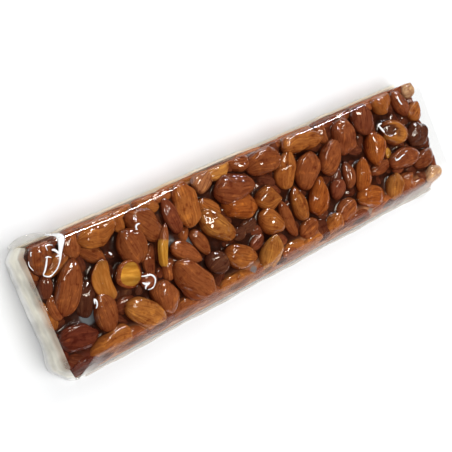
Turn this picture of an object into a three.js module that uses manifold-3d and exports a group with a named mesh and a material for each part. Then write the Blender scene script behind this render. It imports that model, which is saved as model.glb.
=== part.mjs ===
// A bar of whole almonds set in dark caramel on a thin wafer, in a clear film wrapper.
// Millimetres. +X runs along the bar, +Z is up and the origin is at the bottom centre of the box.
import * as THREE from 'three';
import { mergeVertices } from 'three/addons/utils/BufferGeometryUtils.js';
import Module from 'manifold-3d';

const wasm = await Module();
wasm.setup();

// ---- driving dimensions ----
const BAR_LENGTH = 248.5;      // outside of the wrapper's tube
const BASE_WIDTH = 62;         // wrapper on the table
const HEIGHT = 18;
const NEAR_LEAN = 9.5;         // how far the -Y side leans in at the top
const FAR_LEAN = 1;            // and the +Y side
const FILM = 0.35;             // film, drawn thicker than it is
const GAP = 0.3;               // air between touching pieces
const NEAR_ROUND = 2.2;        // top edge on the -Y side
const FAR_ROUND = 5;
const FOOT_ROUND = 0.3;
const WAFER_THICKNESS = 0.9;
const WAFER_EDGE = 0.5;        // depth of the wafer's uneven edge
const CARAMEL_TOP = 10.6;      // caramel between the nuts
const CARAMEL_INSET = 2.7;     // nuts stand this far out of its sides, less the gap to the film
const CARAMEL_ROUND = 1.2;
const NEAR_FOOT_INSET = 0.9;   // the caramel runs out to the film at the foot of the -Y side
const NEAR_FOOT_TOP = 6;
const NUT_TOP = HEIGHT - FILM - GAP;
const END_FOLD = 1.6;          // relief of the folded film at each end
const EAR_REACH = 2.6;         // corner of film past the long side
const EAR_LENGTH = 20;

// ---- the nuts that show on top: x, y, heading in degrees, length, width, rise of the middle, kind ----
const WHOLE = 'whole';
const HALF = 'half';           // split or cut, flat face up
const CRESCENT = 'crescent';   // a bent half
const SLIVER = 'sliver';       // a thin slice on edge
const STUB = 'stub';           // the tip cut off square
const TOP_NUTS = [
  // left end
  [-115.5, 24.5, 75, 15, 11, 12.6, WHOLE],
  [-110.5, 18.8, 12, 15, 8, 12.0, WHOLE],
  [-118.4, 12.5, 72, 11, 7, 11.6, WHOLE],
  [-117.8, 3.0, 100, 12, 8, 11.4, WHOLE],
  [-109, 8, 52, 25, 13, 13.2, WHOLE],
  [-103.5, 0.5, 58, 17, 9, 10.4, WHOLE],
  [-113, -12.5, -12, 19, 12, 12.4, WHOLE],
  [-113.5, -23, 0, 15, 8, 10.6, WHOLE],
  [-97.5, -8.5, 95, 17, 12, 12.2, WHOLE],
  [-99.5, -21, 5, 22, 12.5, 12.6, STUB],
  [-94.7, 4, 84, 18, 9.5, 13.4, CRESCENT],
  [-81.5, 2, -20, 13.5, 13, 14.2, HALF],
  [-88, 24, -4, 21, 13, 13.0, WHOLE],
  [-93, 17.5, -48, 17, 8, 10.6, WHOLE],
  [-100.5, 24, 70, 14, 10, 11.6, WHOLE],
  [-76, 25, 80, 10, 7, 11.6, WHOLE],
  [-74, 11.5, -70, 17, 15, 12.6, WHOLE],
  [-63.5, 19, -42, 21, 14, 12.2, WHOLE],
  [-60.2, 7.6, 64, 20, 4.6, 14.0, SLIVER],
  [-60.5, -3.5, 80, 11, 8, 10.8, WHOLE],
  [-68, 3.5, 62, 14, 7, 11.2, WHOLE],
  [-72, -4.5, 10, 10, 8, 11.6, WHOLE],
  [-79.2, -17.4, -38, 23, 13.5, 13.2, WHOLE],
  [-86.5, -9.5, 0, 12, 8, 10.4, WHOLE],
  [-68.5, -13.5, 60, 15, 13, 12.0, WHOLE],
  [-86, -24.5, -8, 13, 8, 9.4, WHOLE],
  // left of the middle
  [-51.5, -14.8, -50, 26, 15, 13.0, WHOLE],
  [-59.5, -22, 4, 18, 10, 10.8, WHOLE],
  [-49.5, 17, 98, 18, 9, 12.6, WHOLE],
  [-46.5, 7.5, 30, 8, 6, 10.6, WHOLE],
  [-40, 20, 76, 23, 14, 13.2, WHOLE],
  [-59.5, 26.5, -15, 13, 9, 11.0, WHOLE],
  [-49.5, 27.5, 0, 13, 7, 10.8, WHOLE],
  [-27, 26, 40, 13, 11, 12.0, WHOLE],
  [-17, 28, 5, 15, 10, 12.4, WHOLE],
  [-28.8, 12.2, -42, 15, 9, 11.8, WHOLE],
  [-28.6, 3.8, -40, 23, 12.5, 13.2, WHOLE],
  [-49.5, -0.5, -40, 18, 9, 12.4, WHOLE],
  [-40, 0.5, -62, 15, 8, 11.6, WHOLE],
  [-35.5, -11.5, 20, 13, 12, 12.4, WHOLE],
  [-22.8, -13.6, -32, 19, 13, 13.0, WHOLE],
  [-30, -22.6, 0, 20, 11, 11.0, WHOLE],
  [-18, -3.5, 10, 10, 7, 11.0, WHOLE],
  [-12.5, 17.2, -24, 23, 16, 13.4, WHOLE],
  [-12, 9.5, -18, 23, 15, 10.6, WHOLE],
  [-11, -2.5, 10, 11, 7, 10.6, WHOLE],
  [-5.5, -18.5, 62, 21, 15, 12.6, WHOLE],
  [-10, -11.5, 12, 11, 7, 11.0, WHOLE],
  [-3.5, 27, -10, 15, 10, 11.4, WHOLE],
  // right of the middle
  [5, 5.5, -22, 16, 11, 12.4, WHOLE],
  [1, -5.5, -40, 16, 13, 12.6, WHOLE],
  [11, -7.5, 95, 20, 8, 12.4, WHOLE],
  [9.5, 23, -10, 21, 14, 13.2, WHOLE],
  [20.5, 14.5, 62, 20, 12, 12.0, WHOLE],
  [8.5, 13.5, -28, 12, 7, 10.4, WHOLE],
  [21, -3.5, 82, 17, 10, 12.4, WHOLE],
  [23, -16.5, 20, 14, 10, 11.8, WHOLE],
  [11.5, -21.6, -6, 18, 9, 11.0, WHOLE],
  [25, -23.5, 0, 12, 7, 9.4, WHOLE],
  [37, 24.8, -9, 28, 12.5, 13.0, WHOLE],
  [51, 23.5, 80, 12, 8, 11.8, WHOLE],
  [33.5, 10, 58, 21, 15, 13.0, WHOLE],
  [34.5, -4.5, 46, 21, 13, 13.2, WHOLE],
  [50.5, 11, 30, 20, 13, 13.4, WHOLE],
  [64, 18.5, 72, 22, 15.5, 12.8, WHOLE],
  [50.5, 0.5, 30, 11, 6, 11.0, WHOLE],
  [48.5, -5.5, 35, 12, 9, 12.0, WHOLE],
  [58.5, -1.5, 80, 15, 8, 12.0, WHOLE],
  [67, -4.5, 66, 18, 11, 13.0, WHOLE],
  [68.5, -16.5, -14, 20, 12, 13.0, WHOLE],
  [39, -21, 62, 16, 13, 12.0, WHOLE],
  [50.5, -17.5, 32, 15, 12, 12.2, WHOLE],
  [63, -25.5, 0, 12, 7, 8.6, WHOLE],
  [80.5, 21.5, 68, 18.5, 15.5, 12.8, WHOLE],
  [81.5, 6, 48, 19, 14, 13.2, WHOLE],
  [82.5, -5.5, 4, 17, 7, 11.2, WHOLE],
  [75.5, 11.5, 60, 11, 6, 10.4, WHOLE],
  // right end
  [97.5, 26, -78, 16, 14, 12.6, WHOLE],
  [98.8, 8, -32, 20, 14, 13.0, WHOLE],
  [111, 20.5, -66, 18, 10.5, 12.4, WHOLE],
  [121, 26.5, 10, 12, 9, 12.2, WHOLE],
  [120, 14, 35, 13, 10, 12.2, WHOLE],
  [116, 2.5, 20, 18, 15, 12.4, WHOLE],
  [99, -6.5, -6, 24, 11, 13.2, WHOLE],
  [90, -0.5, 60, 7, 5, 12.0, HALF],
  [86.5, -17.5, 78, 15, 13, 12.4, WHOLE],
  [98.3, -20, -42, 17, 14, 11.6, WHOLE],
  [94.5, -11, -8, 10, 6, 10.4, WHOLE],
  [114, -11.5, 15, 17, 10, 12.0, WHOLE],
  [118, -21.8, 35, 15, 12, 12.0, WHOLE],
];
const NUT_THICKNESS = 0.64;    // of its width
const SLIVER_THICKNESS = 1.1;
const THICKEST_NUT = 8.6;
const CUT_FACE = 0.35;         // height left above the middle of a cut nut
const CRESCENT_BEND = -0.045;  // sideways per square millimetre along
const STUB_END = 0.38;         // of its length from the middle

// Top nuts near a long side lean out over it, and those at the -Y side lie lower
const NEAR_EDGE = [13, 21];    // distance from the middle where the lean begins and is whole
const FAR_EDGE = [20, 28];
const NEAR_NUT_LEAN = 0.68;
const FAR_NUT_LEAN = 0.3;
const NEAR_NUT_DROP = 2.4;
const NEAR_NUT_SHIFT = 1;      // outwards

// ---- the nuts that show at the sides and ends, lying flat against them ----
const RIM_STEP = 16.5;
const RIM_LENGTH = 19;
const RIM_WIDTH = 10.8;
const RIM_HEIGHT = 6.8;
const RIM_DEPTH = 3.0;         // from the wrapper to the middle of the nut
const RIM_SCATTER = 2.2;
const RIM_RISE_SCATTER = 0.8;
const RIM_TURN = 0.06;         // radians
const RIM_SMALLEST = 0.88;     // of the full size
const RIM_SIZE_RANGE = 0.24;
const RIM_ACROSS_ENDS = 3;
const END_RISE_SCATTER = 0.7;
const END_AIR = 0.6;           // further in than at the sides
const RIM_SEED = 7;

const NUT_RINGS = 5;
const LARGE_NUT = 19.5;        // nuts this long get more sides
const LARGE_NUT_SIDES = 8;
const SMALL_NUT_SIDES = 6;

// Repeatable random numbers from 0 to 1
function seeded(seed) {
  let state = seed;
  return () => {
    state = (state * 16807) % 2147483647;
    return state / 2147483647;
  };
}

function toManifold(geometry) {
  const bare = geometry.index ? geometry.toNonIndexed() : geometry.clone();
  bare.deleteAttribute('normal');
  bare.deleteAttribute('uv');
  const welded = mergeVertices(bare, 1e-4);
  return new wasm.Manifold(new wasm.Mesh({
    numProp: 3,
    vertProperties: Float32Array.from(welded.attributes.position.array),
    triVerts: Uint32Array.from(welded.index.array),
  }));
}

function toGeometry(solid) {
  const mesh = solid.getMesh();
  const geometry = new THREE.BufferGeometry();
  geometry.setAttribute('position', new THREE.BufferAttribute(Float32Array.from(mesh.vertProperties), 3));
  geometry.setIndex(new THREE.BufferAttribute(Uint32Array.from(mesh.triVerts), 1));
  geometry.computeVertexNormals();
  return geometry;
}

// Turns a shape drawn as (y, z) and pushed along its depth into one that runs along X
const ALONG_X = new THREE.Matrix4().makeBasis(
  new THREE.Vector3(0, 1, 0), new THREE.Vector3(0, 0, 1), new THREE.Vector3(1, 0, 0));

// ---- the bar's section: a low trapezium leaning in more on its -Y side ----
// Y of each side at height z, with the side moved in by inset
function nearSide(z, inset) {
  const slope = NEAR_LEAN / HEIGHT;
  return -BASE_WIDTH / 2 + slope * z + inset * Math.hypot(1, slope);
}

function farSide(z, inset) {
  const slope = FAR_LEAN / HEIGHT;
  return BASE_WIDTH / 2 - slope * z - inset * Math.hypot(1, slope);
}

// A closed outline through corners [y, z, round], with each corner rounded off
function roundedShape(corners) {
  const points = corners.map(([y, z]) => new THREE.Vector2(y, z));
  const shape = new THREE.Shape();
  points.forEach((corner, i) => {
    const count = points.length;
    const towards = (other) => corner.clone().add(
      other.clone().sub(corner).normalize().multiplyScalar(corners[i][2]));
    const from = towards(points[(i + count - 1) % count]);
    const to = towards(points[(i + 1) % count]);
    if (i === 0) shape.moveTo(from.x, from.y);
    else shape.lineTo(from.x, from.y);
    shape.quadraticCurveTo(corner.x, corner.y, to.x, to.y);
  });
  shape.closePath();
  return shape;
}

function sectionShape(inset, bottom, top) {
  return roundedShape([
    [nearSide(bottom, inset), bottom, FOOT_ROUND],
    [farSide(bottom, inset), bottom, FOOT_ROUND],
    [farSide(top, inset), top, FAR_ROUND - inset],
    [nearSide(top, inset), top, NEAR_ROUND - inset],
  ]);
}

function caramelShape(bottom) {
  return roundedShape([
    [nearSide(bottom, NEAR_FOOT_INSET), bottom, FOOT_ROUND],
    [farSide(bottom, CARAMEL_INSET), bottom, FOOT_ROUND],
    [farSide(CARAMEL_TOP, CARAMEL_INSET), CARAMEL_TOP, CARAMEL_ROUND],
    [nearSide(CARAMEL_TOP, CARAMEL_INSET), CARAMEL_TOP, CARAMEL_ROUND],
    [nearSide(NEAR_FOOT_TOP, NEAR_FOOT_INSET), NEAR_FOOT_TOP, CARAMEL_ROUND],
  ]);
}

function prism(shape, length) {
  const geometry = new THREE.ExtrudeGeometry(shape, { depth: length, bevelEnabled: false, curveSegments: 3 });
  geometry.translate(0, 0, -length / 2);
  return geometry.applyMatrix4(ALONG_X);
}

// ---- nuts ----
// An almond one unit long, blunt at -X and pointed at +X, one unit wide and one thick
function almondGeometry(sides) {
  const profile = [];
  for (let i = 0; i <= NUT_RINGS; i += 1) {
    const angle = (Math.PI * i) / NUT_RINGS;
    const along = -Math.cos(angle) / 2;
    const taper = 1.08 - 0.36 * (along + 0.5) ** 2;
    profile.push(new THREE.Vector2(0.5 * Math.sin(angle) * taper, along));
  }
  profile[0].x = 0;
  profile[NUT_RINGS].x = 0;
  const geometry = new THREE.LatheGeometry(profile, sides);
  return geometry.rotateZ(-Math.PI / 2);
}

function nutGeometry(length, width, kind) {
  const geometry = almondGeometry(length < LARGE_NUT ? SMALL_NUT_SIDES : LARGE_NUT_SIDES);
  const thickness = Math.min(width * (kind === SLIVER ? SLIVER_THICKNESS : NUT_THICKNESS), THICKEST_NUT);
  geometry.scale(length, width, thickness);
  const position = geometry.attributes.position;
  for (let i = 0; i < position.count; i += 1) {
    const x = position.getX(i);
    const z = position.getZ(i);
    if (kind === CRESCENT) position.setY(i, position.getY(i) + CRESCENT_BEND * x * x);
    if (kind === HALF || kind === CRESCENT) position.setZ(i, z > 0 ? z * CUT_FACE : z);
    if (kind === STUB) position.setX(i, Math.min(x, STUB_END * length));
  }
  return geometry;
}

function placed(geometry, x, y, z, heading, tilt) {
  geometry.rotateX(tilt);
  geometry.rotateZ(heading);
  return geometry.translate(x, y, z);
}

function topNuts() {
  return TOP_NUTS.map(([x, y, heading, length, width, rise, kind]) => {
    const overNear = THREE.MathUtils.smoothstep(-y, ...NEAR_EDGE);
    const overFar = THREE.MathUtils.smoothstep(y, ...FAR_EDGE);
    const nut = nutGeometry(length, width, kind);
    nut.rotateZ(THREE.MathUtils.degToRad(heading));
    nut.rotateX(NEAR_NUT_LEAN * overNear - FAR_NUT_LEAN * overFar);
    return nut.translate(x, y - NEAR_NUT_SHIFT * overNear, rise - NEAR_NUT_DROP * overNear);
  });
}

function rimNuts() {
  const random = seeded(RIM_SEED);
  const scatter = (size) => (random() - 0.5) * 2 * size;
  const nuts = [];
  const add = (x, y, z, heading, tilt) => {
    const scale = RIM_SMALLEST + RIM_SIZE_RANGE * random();
    const nut = nutGeometry(RIM_LENGTH * scale, RIM_WIDTH * scale, WHOLE);
    nuts.push(placed(nut, x, y, z, heading + (random() < 0.5 ? Math.PI : 0), tilt));
  };
  const nearTilt = Math.PI / 2 - Math.atan(NEAR_LEAN / HEIGHT);
  const farTilt = Math.atan(FAR_LEAN / HEIGHT) - Math.PI / 2;
  const alongCount = Math.floor((BAR_LENGTH - RIM_STEP) / RIM_STEP);
  for (let i = 0; i < alongCount; i += 1) {
    const x = (i - (alongCount - 1) / 2) * RIM_STEP;
    const z = RIM_HEIGHT + scatter(RIM_RISE_SCATTER);
    add(x + scatter(RIM_SCATTER), nearSide(z, RIM_DEPTH), z, scatter(RIM_TURN), nearTilt);
    add(x + scatter(RIM_SCATTER), farSide(z, RIM_DEPTH), z, scatter(RIM_TURN), farTilt);
  }
  for (let i = 0; i < RIM_ACROSS_ENDS; i += 1) {
    const y = 1 + (i - (RIM_ACROSS_ENDS - 1) / 2) * RIM_STEP;
    for (const side of [-1, 1]) {
      const x = side * (BAR_LENGTH / 2 - RIM_DEPTH - END_AIR);
      const across = y + scatter(RIM_SCATTER);
      const z = RIM_HEIGHT + scatter(END_RISE_SCATTER);
      add(x, across, z, Math.PI / 2 + scatter(RIM_TURN), side * Math.PI / 2);
    }
  }
  return nuts;
}

// One solid: caramel with its nuts, trimmed where it was pressed flat and cut to size
function nougat() {
  const bottom = FILM + GAP + WAFER_THICKNESS + GAP;
  const length = BAR_LENGTH - 2 * CARAMEL_INSET;
  const core = toManifold(prism(caramelShape(bottom), length));
  const room = toManifold(prism(sectionShape(FILM + GAP, bottom, NUT_TOP), BAR_LENGTH - 2));
  let solid = core;
  for (const nut of [...topNuts(), ...rimNuts()]) solid = solid.add(toManifold(nut));
  const pieces = solid.intersect(room).decompose();
  pieces.sort((a, b) => b.volume() - a.volume());
  return toGeometry(pieces[0]);
}

// ---- wafer: a thin sheet whose long edges were torn and pressed out unevenly ----
function wafer() {
  const bottom = FILM + GAP;
  const halfLength = BAR_LENGTH / 2 - 1.2;
  const inset = FILM + GAP + 0.1;
  const steps = 60;
  const shape = new THREE.Shape();
  const uneven = (x) => WAFER_EDGE * (0.5 + 0.28 * Math.sin(x * 0.31) + 0.22 * Math.sin(x * 0.83 + 1));
  for (let i = 0; i <= steps; i += 1) {
    const x = halfLength * ((2 * i) / steps - 1);
    const y = nearSide(bottom + WAFER_THICKNESS, inset) + uneven(x);
    if (i === 0) shape.moveTo(x, y);
    else shape.lineTo(x, y);
  }
  for (let i = steps; i >= 0; i -= 1) {
    const x = halfLength * ((2 * i) / steps - 1);
    shape.lineTo(x, farSide(bottom + WAFER_THICKNESS, inset) - uneven(x + 40));
  }
  shape.closePath();
  const geometry = new THREE.ExtrudeGeometry(shape, { depth: WAFER_THICKNESS, bevelEnabled: false });
  return geometry.translate(0, 0, bottom);
}

// ---- film ----
// The tube round the bar, open at both ends
function filmTube() {
  const outside = sectionShape(0, 0, HEIGHT);
  const inside = sectionShape(FILM, FILM, HEIGHT - FILM);
  outside.holes.push(inside);
  return prism(outside, BAR_LENGTH - 2 * GAP);
}

// Folded film over one end: a wavy sheet that closes the tube, with a corner that sticks out at the side
function endOut(across, up) {
  const foot = 0.5 * (1 - up) ** 2;
  const pleat = 0.4 * Math.abs(Math.sin(across * 7.3 + up * 1.9));
  const swell = Math.sin(Math.PI * up) * (0.3 + 0.15 * Math.cos(across * 3.1));
  return END_FOLD * Math.min(1, foot + pleat + swell);
}

function filmEnd() {
  const columns = 24;
  const rows = 6;
  const start = BAR_LENGTH / 2;
  const positions = [];
  const index = [];
  const perLayer = (columns + 1) * (rows + 1);
  for (const layer of [0, 1]) {
    for (let j = 0; j <= rows; j += 1) {
      const up = j / rows;
      const z = up * HEIGHT;
      for (let i = 0; i <= columns; i += 1) {
        const across = i / columns;
        const y = THREE.MathUtils.lerp(nearSide(z, 0), farSide(z, 0), across);
        positions.push(start + layer * (FILM + endOut(across, up)), y, z);
      }
    }
  }
  const at = (layer, j, i) => layer * perLayer + j * (columns + 1) + i;
  const quad = (a, b, c, d) => index.push(a, b, c, a, c, d);
  for (let j = 0; j < rows; j += 1) {
    for (let i = 0; i < columns; i += 1) {
      quad(at(1, j, i), at(1, j, i + 1), at(1, j + 1, i + 1), at(1, j + 1, i));
      quad(at(0, j, i), at(0, j + 1, i), at(0, j + 1, i + 1), at(0, j, i + 1));
    }
    quad(at(0, j, 0), at(1, j, 0), at(1, j + 1, 0), at(0, j + 1, 0));
    quad(at(1, j, columns), at(0, j, columns), at(0, j + 1, columns), at(1, j + 1, columns));
  }
  for (let i = 0; i < columns; i += 1) {
    quad(at(0, 0, i), at(0, 0, i + 1), at(1, 0, i + 1), at(1, 0, i));
    quad(at(1, rows, i), at(1, rows, i + 1), at(0, rows, i + 1), at(0, rows, i));
  }
  const geometry = new THREE.BufferGeometry();
  geometry.setAttribute('position', new THREE.Float32BufferAttribute(positions, 3));
  geometry.setIndex(index);
  return toManifold(geometry);
}

// A flat corner of film lying on the table beside the bar, joined to the end sheet
function filmEar(side) {
  const root = side * (BASE_WIDTH / 2 - 1);
  const clear = side * (BASE_WIDTH / 2 + GAP);
  const tip = side * (BASE_WIDTH / 2 + EAR_REACH);
  const end = BAR_LENGTH / 2;
  const ear = new THREE.Shape();
  ear.moveTo(end + FILM, root);
  ear.quadraticCurveTo(end + 3 * FILM, tip, end - 0.35 * EAR_LENGTH, tip);
  ear.quadraticCurveTo(end - 0.8 * EAR_LENGTH, tip, end - EAR_LENGTH, clear);
  ear.lineTo(end, clear);
  ear.lineTo(end, root);
  return toManifold(new THREE.ExtrudeGeometry(ear, { depth: FILM, bevelEnabled: false, curveSegments: 6 }));
}

function filmCap(earSide) {
  const outline = toManifold(prism(sectionShape(0, 0, HEIGHT), 2 * BAR_LENGTH));
  return toGeometry(filmEnd().intersect(outline).add(filmEar(earSide)));
}

function mirroredEndToEnd(geometry) {
  geometry.scale(-1, 1, 1);
  const index = geometry.index;
  for (let i = 0; i < index.count; i += 3) {
    const first = index.getX(i);
    index.setX(i, index.getX(i + 1));
    index.setX(i + 1, first);
  }
  geometry.computeVertexNormals();
  return geometry;
}

// ---- materials ----
const caramelNuts = new THREE.MeshStandardMaterial({ color: 0x8a4218, roughness: 0.22, metalness: 0 });
const cream = new THREE.MeshStandardMaterial({ color: 0xeed9a6, roughness: 0.85, metalness: 0 });
const clearFilm = new THREE.MeshStandardMaterial({
  color: 0xf2f2f0, roughness: 0.08, metalness: 0, transparent: true, opacity: 0.2,
});
const foldedFilm = new THREE.MeshStandardMaterial({
  color: 0xe4e2da, roughness: 0.3, metalness: 0, transparent: true, opacity: 0.75,
});

const group = new THREE.Group();

function addMesh(name, geometry, material) {
  const mesh = new THREE.Mesh(geometry, material);
  mesh.name = name;
  group.add(mesh);
}

addMesh('nougat', nougat(), caramelNuts);
addMesh('wafer', wafer(), cream);
addMesh('film_tube', filmTube(), clearFilm);
addMesh('film_end_right', filmCap(-1), foldedFilm);
addMesh('film_end_left', mirroredEndToEnd(filmCap(1)), foldedFilm);

export default group;
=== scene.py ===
"""A bar of whole almonds in dark caramel on a wafer, in clear film: its looks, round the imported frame."""

import math

import bpy
import numpy as np
from mathutils import Matrix, Quaternion, Vector


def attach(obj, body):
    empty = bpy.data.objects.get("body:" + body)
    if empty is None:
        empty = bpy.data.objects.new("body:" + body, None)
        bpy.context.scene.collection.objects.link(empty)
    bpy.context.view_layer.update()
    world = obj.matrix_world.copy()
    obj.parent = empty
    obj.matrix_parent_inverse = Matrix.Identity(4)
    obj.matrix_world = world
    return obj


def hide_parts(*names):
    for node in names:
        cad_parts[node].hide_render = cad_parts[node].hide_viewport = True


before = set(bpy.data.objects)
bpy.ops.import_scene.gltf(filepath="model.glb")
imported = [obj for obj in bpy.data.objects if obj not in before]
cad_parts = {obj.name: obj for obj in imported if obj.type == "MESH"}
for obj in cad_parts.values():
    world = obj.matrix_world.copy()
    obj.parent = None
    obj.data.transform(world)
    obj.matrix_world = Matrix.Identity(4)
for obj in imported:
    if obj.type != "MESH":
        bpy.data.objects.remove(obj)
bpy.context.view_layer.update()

MM = 0.001
SCENE = bpy.context.scene

# ---- the bar, in millimetres, as the solids have it ----
BAR_LENGTH = 248.5
BASE_WIDTH = 62.0
HEIGHT = 18.0
NEAR_LEAN = 9.5
FAR_LEAN = 1.0
FILM = 0.35
GAP = 0.3
NEAR_ROUND = 2.2
FAR_ROUND = 5.0
WAFER_THICKNESS = 0.9
CARAMEL_TOP = 10.6
CARAMEL_INSET = 2.7
FOOT_SWELL = 0.6
# the film's near foot is drawn in beyond the first y and its far foot beyond the second, by a share of y
LEFT_CORNERS = (-22.1, 27.0)
CORNER_DRAW = 0.9
NEAR_FOOT_TOP = 6.0
WAFER_LEDGE = 0.5
FAR_FOOT_SWELL = 0.8
NUT_THICKNESS = 0.64
SLIVER_THICKNESS = 1.1
THICKEST_NUT = 8.6
CRESCENT_BEND = -0.045
RIM_STEP = 16.5
RIM_LENGTH = 19.0
RIM_WIDTH = 10.8
RIM_HEIGHT = 6.8
RIM_DEPTH = 3.0
RIM_SCATTER = 2.2
RIM_RISE_SCATTER = 0.8
RIM_TURN = 0.06
RIM_SMALLEST = 0.88
RIM_SIZE_RANGE = 0.24
RIM_ACROSS_ENDS = 3
RIM_CENTRE = 1.0
RIM_SEED = 7
END_AIR = 0.6
END_RISE_SCATTER = 0.7
NEAR_EDGE = (13.0, 21.0)
FAR_EDGE = (20.0, 28.0)
NEAR_NUT_LEAN = 0.68
FAR_NUT_LEAN = 0.3
NEAR_NUT_DROP = 2.4
NEAR_NUT_SHIFT = 1.0

# ---- camera, from the picture's 452 x 452 frame ----
CAMERA_TARGET = (-22.3, 1.9, 10.0)
CAMERA_AZIMUTH = -100.85
CAMERA_ELEVATION = 55.2
CAMERA_ROLL = 77.27
CAMERA_DISTANCE = 451.7
FOCAL_PIXELS = 966.0
PICTURE_PIXELS = 452.0
SENSOR = 36.0

# ---- skin and flesh colours, linear ----
TONES = {
    "brown": (0.274, 0.074, 0.021),
    "russet": (0.225, 0.058, 0.019),
    "orange": (0.345, 0.088, 0.016),
    "amber": (0.344, 0.104, 0.022),
    "gold": (0.390, 0.136, 0.029),
    "honey": (0.470, 0.178, 0.037),
    "red": (0.195, 0.048, 0.019),
    "maroon": (0.118, 0.024, 0.011),
    "deep": (0.120, 0.030, 0.013),
    "dark": (0.104, 0.033, 0.016),
    "tan": (0.370, 0.135, 0.050),
    "pale": (0.550, 0.310, 0.160),
    "ochre": (0.414, 0.145, 0.026),
    "yellow": (0.560, 0.250, 0.032),
}
WHOLE, HALF, CRESCENT, SLIVER, STUB, TORN = "whole", "half", "crescent", "sliver", "stub", "torn"
SKIN_OF = {HALF: "brown", CRESCENT: "brown", SLIVER: "brown"}
FLESH_OF = {STUB: "ochre", TORN: "ochre"}

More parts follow.
